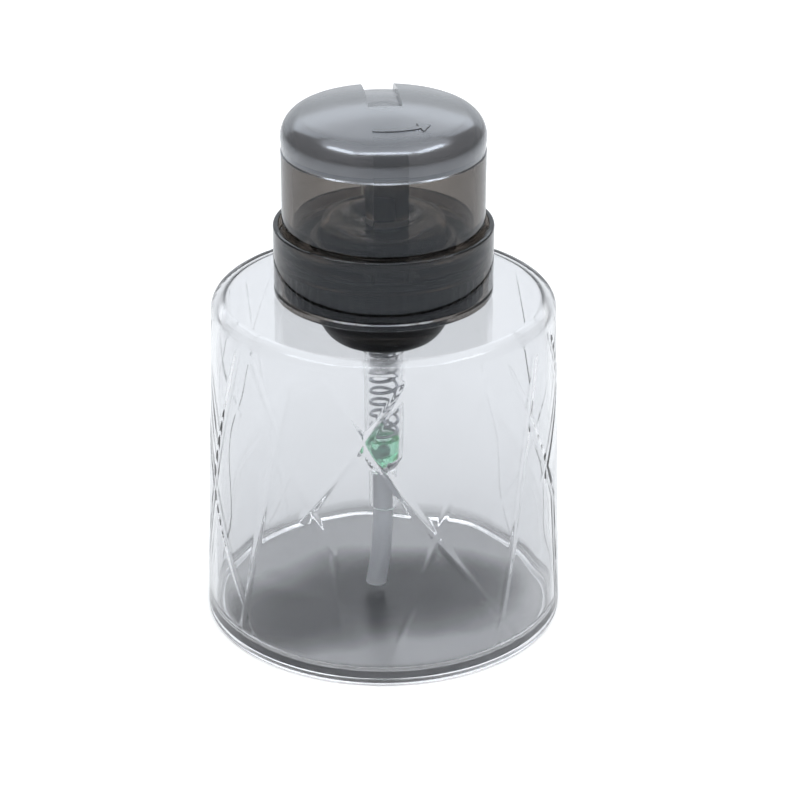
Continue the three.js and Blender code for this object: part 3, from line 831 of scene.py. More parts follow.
@dataclass(frozen=True)
class BottlePlastic(SeeThrough):
    """Clear plastic with painted shade in its thick foot and the foot's inner corner, darkest in a
    painted shadow of the pump head, and with a little frost in its corners.

    Each pair of heights or radii says where a zone begins and where it is full, in millimetres.

    Attributes:
        dark: The surface's colour in the middle of a patch, the darkest of the painted shadow.
        light: Its share of the surface's colour between the patches: painted shade over the rest of
            the foot.
        rim_shade: Its share at the foot's inner corner: painted shade there.
        patches: The two patches of the pump head's painted shadow, which run together.
        patch_ends: From where to where a patch fades out.
        clouds: How far the patches' edges wander.
        cloud_scale: The scale of that, in cycles a metre.
        underside: What is lower than this is the foot's underside.
        foot_heights: The foot's two faces, which take its painted shade.
        foot_radii: What lies inside the wall, and takes the foot's painted shade.
        rim_heights: The foot's inner corner, where shade is painted, by height.
        rim_radii: The same, by radius.
        rim_end: The radius where it ends.
        corner_heights: The frost in the foot's inner corner.
        corner_end: The radius where that ends.
        corner_frost: What it adds to the roughness.
        shoulder_heights: The shoulder's rounded edge, by height.
        shoulder_radii: The same, by radius.
        shoulder_frost: What the edge adds to the roughness, in clear and in smeared places.
    """

    # Painted shade in the foot: the pump head's painted shadow in the patches, and painted shade
    # over the rest of the foot and in its inner corner.
    dark: Colour = (0.004, 0.005, 0.007)
    light: float = 0.83
    rim_shade: float = 0.6
    patches: tuple[ShadowPatch, ShadowPatch] = (
        ShadowPatch((2.0, -1.0), (0.75, 1.15)),
        ShadowPatch((-19.0, -9.0), (1.0, 1.3), 2.0),
    )
    patch_ends: Pair = (12.0, 31.0)
    clouds: float = 12.0
    cloud_scale: float = 45.0
    underside: float = 1.2
    foot_heights: Pair = (4.2, 2.3)
    foot_radii: Pair = (36.6, 35.2)
    rim_heights: Pair = (4.9, 2.9)
    rim_radii: Pair = (33.0, 34.6)
    rim_end: float = 36.4
    corner_heights: Pair = (5.0, 3.4)
    corner_end: float = 36.2
    corner_frost: float = 0.25
    shoulder_heights: Pair = (67.8, 68.8)
    shoulder_radii: Pair = (32.2, 33.2)
    shoulder_frost: Pair = (0.04, 0.16)

    def skin(self, tree: Tree, smear: Socket, rough: Socket) -> dict[str, Any]:
        """What the bottle's surface sets on the shader.

        Args:
            tree: The material's nodes.
            smear: The noise of the smears.
            rough: The smeared gloss.

        Returns:
            The shader's inputs by name.
        """
        place = tree.place()
        height, out = tree.height(place), tree.from_axis(place)
        corner = tree.fade(height, self.corner_heights) * (height > self.underside * MM)
        corner = corner * (out < self.corner_end * MM)
        edge = tree.fade(height, self.shoulder_heights) * tree.fade(out, self.shoulder_radii)
        frost = edge * (self.shoulder_frost[0] + self.shoulder_frost[1] * smear)
        return {
            "Base_Color": self.painted_foot_shade(tree, place, height, out),
            "Roughness": rough + corner * self.corner_frost + frost,
        }

    def painted_foot_shade(self, tree: Tree, place: Socket, height: Socket, out: Socket) -> Socket:
        """The surface's colour with painted shade: the pump head's painted shadow in the foot's
        patches, with soft clouds, painted shade over the rest of the foot and in its inner corner,
        and plain above.

        The share of light grows with the square of the way out of the nearer patch.

        Args:
            tree: The material's nodes.
            place: The place on the bottle.
            height: Its height.
            out: Its distance from the axis.

        Returns:
            The colour.
        """
        first, second = (patch.away(tree, place) for patch in self.patches)
        wander = tree.noise(self.cloud_scale, 2.0) * (self.clouds * MM)
        away = tree.fade(first.at_most(second) + wander, self.patch_ends)
        inside = tree.fade(out, self.foot_radii).at_least(height < self.underside * MM)
        low = tree.fade(height, self.foot_heights) * inside
        # Painted shadow of the pump head, fading to painted shade over the rest of the foot.
        foot = tree.mix(away * away, opaque(self.dark), opaque(self.surface, self.light))
        shade = tree.mix(low, opaque(self.surface), foot)
        # Painted shade in the foot's inner corner.
        rim = tree.fade(out, self.rim_radii) * tree.fade(height, self.rim_heights)
        rim = rim * (out < self.rim_end * MM)
        return tree.mix(rim, shade, opaque(self.surface, self.rim_shade))


@dataclass(frozen=True)
class Moulded:
    """A plastic or rubber that isn't see-through, or only a little.

    Attributes:
        name: The material's name.
        colour: Its colour.
        worn: Its colour in the clouds.
        gloss: Its roughness from the glossiest to the dullest places.
        grain: The height of its fine skin, in millimetres.
        clear: How much light passes through it.
        shine: How strong its reflections are.
        index: How strongly it bends light.
        cloud_ends: From where to where in the noise the clouds set in.
        scales: The scales of clouds, gloss and grain, in cycles a metre.
    """

    name: str
    colour: Colour
    worn: Colour
    gloss: Pair = (0.3, 0.45)
    grain: float = 0.01
    clear: float = 0.0
    shine: float = 0.5
    index: float = 1.48
    cloud_ends: Pair = (0.35, 0.75)
    scales: Triple = (180.0, 420.0, 2600.0)

    def make(self) -> bpy.types.Material:
        """Builds the material: a colour with slight clouds, uneven gloss and a fine skin.

        Returns:
            The material.
        """
        made, tree = new_material(self.name)
        clouds, gloss, grain = self.scales
        body = tree.node(
            "ShaderNodeBsdfPrincipled",
            {},
            Base_Color=tree.ramp(tree.noise(clouds, 3.0), self.colour, self.worn, self.cloud_ends),
            Roughness=tree.noise(gloss, 4.0) * (self.gloss[1] - self.gloss[0]) + self.gloss[0],
            IOR=self.index,
            Transmission_Weight=self.clear,
            Specular_IOR_Level=self.shine,
            Normal=tree.bump(tree.noise(grain, 2.0), 0.5, self.grain * MM),
        )
        tree.node("ShaderNodeOutputMaterial", {}, body)
        return made


@dataclass(frozen=True)
class Steel:
    """Bright drawn steel.

    Attributes:
        name: The material's name.
        colour: Its colour.
        gloss: Its lowest roughness, and what the drawing marks add.
        marks: The scale of the marks, in cycles a metre.
        grain: Their height in millimetres.
    """

    name: str
    colour: Colour = (0.24, 0.25, 0.27)
    gloss: Pair = (0.12, 0.18)
    marks: float = 900.0
    grain: float = 0.01

    def make(self) -> bpy.types.Material:
        """Builds the material: metal with fine drawing marks in its gloss.

        Returns:
            The material.
        """
        made, tree = new_material(self.name)
        marks = tree.noise(self.marks, 5.0, (1.0, 1.0, 5.0))
        body = tree.node(
            "ShaderNodeBsdfPrincipled",
            {},
            Base_Color=opaque(self.colour),
            Metallic=1.0,
            Roughness=marks * self.gloss[1] + self.gloss[0],
            Normal=tree.bump(marks, 0.4, self.grain * MM),
        )
        tree.node("ShaderNodeOutputMaterial", {}, body)
        return made


SMOKY: Colour = (0.225, 0.165, 0.105)
COOL: Colour = (0.84, 0.91, 1.0)


class Finish(Enum):
    """The object's finishes."""

    # The bottle's plastic, with painted shade in its foot.
    CLEAR = BottlePlastic(
        "clear_plastic",
        (0.45, 0.47, 0.52),
        10.0,
        (0.0, 0.02),
        (0.868, 0.873, 0.884),
        (0.5, 0.51, 0.53),
    )
    SMOKE = SeeThrough("smoky_plastic", SMOKY, 500.0, (0.02, 0.07), sheen=COOL)
    SATIN = SeeThrough("smoky_collar", SMOKY, 1500.0, (0.02, 0.05), sheen=COOL)
    ROOFED = LidPlastic("smoky_lid", SMOKY, 500.0, (0.02, 0.05), sheen=COOL)
    MILK = SeeThrough("milky_plastic", (0.6, 0.62, 0.68), 30.0, (0.08, 0.16))
    TUBE = Moulded("milky_tube", (0.90, 0.91, 0.93), (0.95, 0.96, 0.98), (0.28, 0.4), clear=0.8)
    BLACK = Moulded(
        "black_plastic", (0.005, 0.005, 0.006), (0.010, 0.010, 0.011), (0.3, 0.42), shine=0.2
    )
    GREEN = SeeThrough("green_plastic", (0.12, 0.82, 0.5), 250.0, (0.06, 0.16))
    WHITE = Moulded("white_plastic", (0.70, 0.70, 0.69), (0.78, 0.78, 0.77), (0.35, 0.5))
    SEAL = Moulded("soft_seal", (0.34, 0.35, 0.36), (0.42, 0.43, 0.44), (0.5, 0.65), 0.02)
    STEEL = Steel("spring_steel")


# Pieces


class Bench:
    """Where pieces are finished: it makes each finish once, dresses each piece and seats it on its
    body.
    """

    def __init__(self) -> None:
        """Starts with no finishes."""
        self.made: dict[Finish, bpy.types.Material] = {}

    def finish(self, which: Finish) -> bpy.types.Material:
        """The finish's material, made once.

        Args:
            which: The finish.

        Returns:
            The material.
        """
        if which not in self.made:
            self.made[which] = which.value.make()
        return self.made[which]

    def piece(
        self,
        name: str,
        form: Surface | bpy.types.Mesh,
        which: Finish,
        node: str,
        body: str | None,
        crease: float = 40.0,
    ) -> bpy.types.Object:
        """Makes an object from a form and seats it.

        Args:
            name: The piece's name.
            form: The surface or the finished mesh.
            which: Its finish.
            node: The CAD node that it stands for, or an empty text.
            body: The body that it rides on, or None, which leaves it on no body.
            crease: The angle in degrees past which an edge stays sharp.

        Returns:
            The object.
        """
        mesh = to_mesh(name, form) if isinstance(form, Surface) else form
        mesh.shade_smooth()
        mesh.set_sharp_from_angle(angle=math.radians(crease))
        mesh.materials.clear()
        mesh.materials.append(self.finish(which))
        made = bpy.data.objects.new(name, mesh)
        bpy.context.scene.collection.objects.link(made)
        if body:
            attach(made, body)
        if node:
            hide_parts(node)
        LOG.info("%s: %d faces, %s", name, len(mesh.polygons), which.value.name)
        return made


@dataclass
class Bottle:
    """The clear bottle: a tapered wall with crossing cut lines, a flat shoulder and a neck.

    Each cut line is given by its turn in degrees and its height at one end and at the other, and
    all of them come again in each sector.
    """

    foot_radius: float = 37.5
    foot_edge: float = 0.9
    foot_swell: float = 0.03
    ring_width: float = 3.0
    ring_slope: float = 1.0
    push_up: float = 0.7
    shoulder_radius: float = 35.2
    shoulder_height: float = 70.7
    shoulder_fillet: float = 2.6
    wall: float = 1.6
    plate: float = 1.2
    floor: float = 2.0
    inner_top_fillet: float = 2.0
    inner_foot_fillet: float = 2.6
    neck_radius: float = 16.4
    neck_wall: float = 1.8
    neck_height: float = 6.7
    neck_fillet: float = 1.1
    mouth_fillet: float = 0.4
    thread_lead: float = 3.0
    thread_depth: float = 0.7
    thread_half: float = 0.62
    thread_margins: Pair = (2.0, 1.0)
    thread_fade: float = 0.8
    wave: float = 0.035
    wave_margin: float = 6.0
    wave_fade: float = 8.0
    band_low: float = 2.0
    line_width: float = 2.3
    line_depth: float = 0.12
    line_fade: float = 1.5
    unrolled_radius: float = 36.0
    inside_piece: float = 3.0
    wall_piece: float = 0.85
    thread_piece: float = 0.28
    segments: int = 180
    wall_times: int = 4
    sectors: int = 4
    lines: tuple[tuple[float, float, float, float], ...] = (
        (-23.2, 65.6, 42.2, 4.6),
        (30.0, 65.6, -2.5, 4.6),
        (54.0, 64.0, 33.7, 4.6),
        (38.8, 65.6, 69.7, 29.1),
        (69.7, 29.1, 73.5, 5.2),
        (2.2, 65.6, -30.0, 36.3),
    )

    @property
    def band_high(self) -> float:
        """Where the straight wall ends and the shoulder's fillet begins."""
        return self.shoulder_height - self.shoulder_fillet

    @property
    def neck_top(self) -> float:
        """The height of the neck's mouth."""
        return self.shoulder_height + self.neck_height

    def wall_radius(self, height: Array) -> Array:
        """The outer radius at a height: it falls evenly from the foot's edge to the shoulder."""
        fall = (self.shoulder_radius - self.foot_radius) * (height - self.foot_edge)
        return self.foot_radius + fall / (self.band_high - self.foot_edge)

    def cut_depth(self, turn: Array, height: Array) -> Array:
        """How deep the cut lines are at each point of the unrolled wall.

        A line's depth follows a raised cosine from its middle to its edge, and fades at its ends.
        Where lines cross, the deeper one counts.

        Args:
            turn: Radians from the front.
            height: Millimetres over the foot.

        Returns:
            The depth in millimetres.
        """
        sector = 2 * np.pi / self.sectors
        depth = np.zeros(np.broadcast(turn, height).shape)
        for start, top, end, bottom in self.lines:
            a, b = math.radians(start), math.radians(end)
            for copy in range(-2, 3):
                across = ((turn + np.pi) % (2 * np.pi) - np.pi) - copy * sector
                x, z = (across - a) * self.unrolled_radius, height - top
                along = np.array([(b - a) * self.unrolled_radius, bottom - top])
                long = float(np.linalg.norm(along))
                along /= long
                far = x * along[0] + z * along[1]
                off = np.abs(x * along[1] - z * along[0])
                fade = np.clip(np.minimum(far, long - far) / self.line_fade + 1, 0, 1)
                vee = 0.5 + 0.5 * np.cos(np.pi * np.clip(off / (self.line_width / 2), 0, 1))
                depth = np.maximum(depth, self.line_depth * vee * fade)
        return depth

    def waves(self, turn: Array, height: Array) -> Array:
        """How far the wall's inside swells: a few hundredths of a millimetre, as a blown wall does.

        It is a sum of three slow waves in turn and height, which fade towards foot and shoulder.

        Args:
            turn: Radians from the front.
            height: Millimetres over the foot.

        Returns:
            The swelling in millimetres.
        """
        low, high = self.wave_margin, self.shoulder_height - self.wave_margin
        ends = np.clip((height - low) / self.wave_fade, 0, 1)
        ends = ends * np.clip((high - height) / self.wave_fade, 0, 1)
        wave = np.sin(3 * turn + 0.11 * height) + np.sin(7 * turn - 0.23 * height + 1.3)
        return self.wave * (wave + 0.7 * np.sin(12 * turn + 0.17 * height + 2.1)) * ends

    def thread(self, turn: Array, height: Array) -> Array:
        """How far the neck's thread stands out.

        It is a ridge whose height follows a raised cosine across it, and whose middle climbs by
        its lead with each turn.

        Args:
            turn: Radians from the front.
            height: Millimetres over the foot.

        Returns:
            The ridge's height in millimetres.
        """
        low = self.shoulder_height + self.thread_margins[0]
        high = self.neck_top - self.thread_margins[1]
        fade = self.thread_fade
        phase = (height - low) / self.thread_lead - turn / (2 * np.pi)
        near = np.abs(phase - np.round(phase)) * self.thread_lead
        across = np.cos(np.clip(near / self.thread_half, 0, 1) * np.pi / 2)
        ridge = np.clip(across, 0, 1) ** 1.4 * np.clip((height - low + fade) / fade, 0, 1)
        ridge = ridge * np.clip((high - height + 0.75 * fade) / fade, 0, 1)
        return self.thread_depth * ridge

    def shaped(self, turn: Array, radius: Array, height: Array) -> tuple[Array, Array]:
        """Cuts the lines into the wall, lets its inside wave and winds the thread round the neck.

        Args:
            turn: Radians from the front.
            radius: The plain form's radius.
            height: The plain form's height.

        Returns:
            The new radius and the height.
        """
        wall = self.wall_radius(height)
        outside = (np.abs(radius - wall) < 0.01) & (height > self.band_low)
        outside &= height < self.band_high
        inside = (radius > 25) & (radius < wall - 0.6 * self.wall) & (height > self.wave_margin)
        inside &= height < self.shoulder_height - self.wave_margin
        on_neck = (np.abs(radius - self.neck_radius) < 0.05) & (height > self.shoulder_height + 1)
        radius = radius - np.where(outside, self.cut_depth(turn, height), 0)
        radius = radius + np.where(inside, self.waves(turn, height), 0)
        return radius + np.where(on_neck, self.thread(turn, height), 0), height

    def smooth_lines(self, mesh: bpy.types.Mesh) -> None:
        """Gives the cut wall the exact directions of its surface, so that the lines shade evenly.

        The surface is a radius over turn and height. Its direction is the radial one, less the
        radius's slope along the turn and less its slope along the height.

        Args:
            mesh: The bottle's mesh.
        """
        points, normals = np.zeros(len(mesh.vertices) * 3), np.zeros(len(mesh.vertices) * 3)
        mesh.vertices.foreach_get("co", points)
        mesh.vertex_normals.foreach_get("vector", normals)
        points, normals = points.reshape(-1, 3) / MM, normals.reshape(-1, 3)
        turn, height = np.arctan2(points[:, 0], -points[:, 1]), points[:, 2]
        radius = np.hypot(points[:, 0], points[:, 1])
        band = (height > self.band_low) & (height < self.band_high - 0.5)
        band &= radius > self.wall_radius(height) - self.line_depth - 0.1
        step, base = 0.12, self.wall_radius(np.array([0.0, 1.0]))
        t, z, r = turn[band], height[band], radius[band]
        around = (self.cut_depth(t - step / r, z) - self.cut_depth(t + step / r, z)) / (2 * step)
        up = (self.cut_depth(t, z - step) - self.cut_depth(t, z + step)) / (2 * step)
        out, side = np.stack([np.sin(t), -np.cos(t)]), np.stack([np.cos(t), np.sin(t)])
        normals[band] = unit(np.vstack([out - around * side, -(up + base[1] - base[0])]).T)
        mesh.normals_split_custom_set_from_vertices(normals.tolist())

    def on_wall(self, radius: float, height: float) -> bool:
        """Whether a place lies on the outside of the straight wall."""
        return radius > self.wall_radius(height) - 0.5 and 1 < height < self.band_high

    def profile(self) -> Array:
        """The bottle's profile, with more points where it is shaped.

        Returns:
            Rows of radius and height.
        """
        bore = self.neck_radius - self.neck_wall
        ring = self.foot_radius - self.ring_width
        shoulder, inner_top = self.shoulder_height, self.shoulder_height - self.plate
        corners = [
            (0, self.push_up),
            (ring, self.push_up, 1.0),
            (ring + self.ring_slope, 0, 0.6),
            (self.foot_radius + self.foot_swell, 0, self.foot_edge),
            (self.wall_radius(shoulder), shoulder, self.shoulder_fillet),
            (self.neck_radius, shoulder, self.neck_fillet),
            (self.neck_radius, self.neck_top, self.mouth_fillet),
            (bore, self.neck_top, self.mouth_fillet),
            (bore, inner_top, 1.6),
            (self.wall_radius(inner_top) - self.wall, inner_top, self.inner_top_fillet),
            (self.wall_radius(self.floor) - self.wall, self.floor, self.inner_foot_fillet),
            (0, self.floor),
        ]
        rows = outline(corners, closed=False, steps=4)
        rows = refined(rows, self.inside_piece, lambda r, z: r > 20 and 4 < z < self.band_high)
        rows = refined(rows, self.wall_piece, self.on_wall)
        low, high = shoulder + 1.2, self.neck_top - 0.5
        return refined(rows, self.thread_piece, lambda r, z: r > 16 and low < z < high)

    def build(self, bench: Bench) -> None:
        """Makes the bottle as one closed wall.

        Args:
            bench: Where it is finished.
        """
        form = revolve(self.profile(), self.segments, self.shaped, self.wall_times, self.on_wall)
        made = bench.piece(
            "bottle", form, Finish.CLEAR, "bottle_body", "bottle", 60.0
        )
        self.smooth_lines(made.data)


@dataclass
class Pump:
    """The pump that hangs in the neck: cup, barrel, valves, tube, spring, piston and stem."""

    gasket_radii: Pair = (14.75, 16.25)
    gasket_heights: Pair = (77.55, 78.35)

    cup_outer: float = 14.2
    cup_inner: float = 13.0
    cup_middle: float = 72.0
    cup_top: float = 79.7
    cup_low: float = 60.5
    cup_flange: float = 16.15
    flange_low: float = 78.5
    bowl_top: float = 70.1
    bowl_bend: float = 5.6
    bowl_flat: float = 8.0
    well_floor: float = 62.1
    well_flat: float = 7.0
    sleeve_bore: float = 5.1
    sleeve_radius: float = 6.4
    sleeve_top: float = 65.7

    socket_bore: float = 2.3
    socket_radius: float = 3.0
    socket_low: float = 22.25
    socket_top: float = 30.45
    throat: float = 1.2
    cone_low: float = 31.35
    cone_high: float = 33.45
    barrel_radius: float = 4.0
    barrel_bore: float = 3.35
    barrel_head: float = 4.8
    head_ends: Pair = (56.85, 57.65)
    barrel_flange: float = 6.4
    flange_bottom: float = 65.85
    flange_height: float = 1.1

    valve_radius: float = 3.2
    valve_throat: float = 1.0
    valve_foot: float = 1.35
    valve_low: float = 31.65
    valve_cone: float = 33.75
    seat: float = 34.05
    chamber: float = 1.65
    chamber_ends: Pair = (34.7, 37.63)
    cage_lip: float = 1.1
    cage_top: float = 38.13
    ball_radius: float = 1.49
    ball_heights: Pair = (35.38, 82.4)

    tube_radius: float = 2.13
    tube_bore: float = 1.5
    tube_ends: Pair = (30.3, 3.9)
    tube_lean: float = -1.6

    spring_radius: float = 2.75
    wire: float = 0.34
    spring_low: float = 38.65
    spring_high: float = 58.85
    turns: float = 8.83
    end_rise: float = 1.2

    guide_bore: float = 2.15
    guide_plug: float = 3.2
    guide_head: float = 3.35
    guide_heights: tuple[float, ...] = (64.7, 67.1, 68.1, 69.4)

    piston_radius: float = 3.2
    piston_waist: float = 2.75
    lip_heights: tuple[float, ...] = (59.35, 60.45, 60.9, 63.0, 63.45, 64.55)
    rod_seat: float = 60.95
    rod_bore: float = 1.15
    rod_radius: float = 2.0
    rod_ends: Pair = (61.1, 81.29)

    def cup(self) -> Surface:
        """The mounting cup: a flange on the gasket, a straight wall and a bowl with a sleeve.

        Each side of the bowl is a quarter of an ellipse, drawn in by the bend and down to its foot.

        Returns:
            The closed surface.
        """
        depth = np.linspace(0, np.pi / 2, 12)
        sides = []
        for out, low in ((self.cup_outer, self.cup_low), (self.cup_inner, self.well_floor)):
            flat = out - self.bowl_bend + self.bowl_bend * np.cos(depth)
            down = self.bowl_top - (self.bowl_top - low) * np.sin(depth)
            sides.append(np.stack([flat, down], -1))
        outer, inner = sides
        head = outline(
            [
                (self.cup_outer, self.cup_middle, 0),
                (self.cup_outer, self.flange_low, 0.3),
                (self.cup_flange, self.flange_low),
                (self.cup_flange, self.cup_top),
                (self.cup_inner, self.cup_top, 0.3),
                (self.cup_inner, self.cup_middle, 0),
            ]
        )
        foot = outline(
            [
                (self.well_flat, self.well_floor, 0),
                (self.sleeve_radius, self.well_floor, 0.3),
                (self.sleeve_radius, self.sleeve_top),
                (self.sleeve_bore, self.sleeve_top),
                (self.sleeve_bore, self.cup_low),
                (self.bowl_flat, self.cup_low, 0),
            ]
        )
        return revolve(np.vstack([head, inner, foot, outer[::-1]]), 144)

    def housing(self) -> Surface:
        """The barrel: a flange, a wider head, the bore, an intake cone and the tube's socket.

        Returns:
            The closed surface.
        """
        top = self.flange_bottom
        corners = [
            (self.socket_bore, self.socket_low),
            (self.socket_radius, self.socket_low),
            (self.socket_radius, self.cone_low, 0.3),
            (self.barrel_radius, self.cone_high, 0.6),
            (self.barrel_radius, self.head_ends[0], 0.3),
            (self.barrel_head, self.head_ends[1], 0.3),
            (self.barrel_head, top, 0.2),
            (self.barrel_flange, top),
            (self.barrel_flange, top + self.flange_height),
            (self.barrel_bore, top + self.flange_height),
            (self.barrel_bore, self.cone_high, 0.3),
            (self.throat, self.cone_low, 0.3),
            (self.throat, self.socket_top),
            (self.socket_bore, self.socket_top),
        ]
        return revolve(outline(corners), 96)

    def valve(self) -> Surface:
        """The intake valve: a seat cone under the ball's chamber and a lip that keeps it in.

        Returns:
            The closed surface.
        """
        low, high = self.chamber_ends
        corners = [
            (self.valve_throat, self.valve_low),
            (self.valve_foot, self.valve_low),
            (self.valve_radius, self.valve_cone, 0.2),
            (self.valve_radius, self.cage_top),
            (self.cage_lip, self.cage_top),
            (self.cage_lip, high),
            (self.chamber, high),
            (self.chamber, low, 0.2),
            (self.valve_throat, self.seat),
        ]
        return revolve(outline(corners, soft=0.08), 72)

    def dip_tube(self) -> Surface:
        """The tube: a ring drawn along a line that is straight in its socket and then leans.

        Past the socket the line moves to -X by the lean times the mean of the run's share and its
        square.

        Returns:
            The closed surface of the tube's wall.
        """
        top, low = self.tube_ends
        height = np.linspace(top, low, 60)
        bent = np.clip((self.socket_low - height) / (self.socket_low - low), 0, 1)
        path = np.stack([self.tube_lean * (bent + bent**2) / 2, 0 * height, height], -1)
        level = np.tile([0.0, 1.0, 0.0], (len(path), 1))
        beside = np.cross(unit(np.gradient(path, axis=0)), level)
        outside = circles(path, beside, level, self.tube_radius, 48)
        inside = circles(path, beside, level, self.tube_bore, 48)
        loop = np.concatenate([outside, inside[::-1]], 0)
        return Surface(loop.reshape(-1, 3), grid_faces(len(loop), 48, True, True).tolist())

    def spring(self) -> Surface:
        """The return spring: a wire on a helix with one closed-up turn at each end.

        Its height grows by the end rise in the first and the last turn and evenly between them.

        Returns:
            The closed surface.
        """
        turn = np.linspace(0, self.turns, int(self.turns * 36))
        span = self.spring_high - self.spring_low
        heights = [0, self.end_rise, span - self.end_rise, span]
        angle = 2 * np.pi * turn
        beside = np.stack([np.cos(angle), np.sin(angle), 0 * angle], -1)
        path = beside * self.spring_radius
        path[:, 2] = self.spring_low + np.interp(turn, [0, 1, self.turns - 1, self.turns], heights)
        return tube(path, beside, self.wire, 12)

    def guide(self) -> Surface:
        """The barrel's cap, which guides the stem.

        Returns:
            The closed surface.
        """
        low, rest, head, top = self.guide_heights
        corners = [
            (self.guide_bore, low),
            (self.guide_plug, low),
            (self.guide_plug, rest),
            (self.barrel_flange, rest),
            (self.barrel_flange, head),
            (self.guide_head, head, 0.2),
            (self.guide_head, top),
            (self.guide_bore, top),
        ]
        return revolve(outline(corners), 96)

    def piston(self) -> Surface:
        """The piston: two lips with a waist between them, and the stem's seat.

        Returns:
            The closed surface.
        """
        low, lip_low, waist_low, waist_high, lip_high, top = self.lip_heights
        corners = [
            (self.rod_bore, low),
            (self.piston_radius, low),
            (self.piston_radius, lip_low),
            (self.piston_waist, waist_low, 0.3),
            (self.piston_waist, waist_high, 0.3),
            (self.piston_radius, lip_high),
            (self.piston_radius, top),
            (self.guide_bore, top),
            (self.guide_bore, self.rod_seat),
            (self.rod_bore, self.rod_seat),
        ]
        return revolve(outline(corners), 96)

    def pipe(self, radii: Pair, ends: Pair, segments: int) -> Surface:
        """A straight ring.

        Args:
            radii: Its inner and outer radius.
            ends: Its lower and upper end.
            segments: The points in a full turn.

        Returns:
            The closed surface.
        """
        (inner, outer), (low, high) = radii, ends
        corners = [(inner, low), (outer, low), (outer, high), (inner, high)]
        return revolve(outline(corners), segments)

    def build(self, bench: Bench) -> None:
        """Makes the pump's pieces from the gasket down, and then from the guide to the upper ball.

        Args:
            bench: Where they are finished.
        """
        white, steel, milk = Finish.WHITE, Finish.STEEL, Finish.MILK
        gasket = self.pipe(self.gasket_radii, self.gasket_heights, 128)
        rod = self.pipe((self.rod_bore, self.rod_radius), self.rod_ends, 72)
        lower, upper = (ball(self.ball_radius, height) for height in self.ball_heights)
        bench.piece("gasket", gasket, white, "neck_gasket", "pump_lift")
        bench.piece("cup", self.cup(), Finish.BLACK, "mounting_cup", "insert")
        bench.piece("barrel", self.housing(), milk, "pump_housing", "insert")
        bench.piece(
            "valve_seat", self.valve(), Finish.GREEN, "intake_valve", "insert"
        )
        bench.piece("lower_ball", lower, steel, "intake_ball", "intake_ball")
        bench.piece("tube", self.dip_tube(), Finish.TUBE, "dip_tube", "insert")
        wire = bench.piece("spring", self.spring(), steel, "return_spring", None)
        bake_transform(wire)
        bench.piece("guide", self.guide(), white, "stem_guide", "insert")
        bench.piece("plunger_seal", self.piston(), white, "piston", "plunger")
        bench.piece("rod", rod, milk, "stem", "plunger")
        bench.piece("upper_ball", upper, steel, "outlet_ball", "outlet_ball")


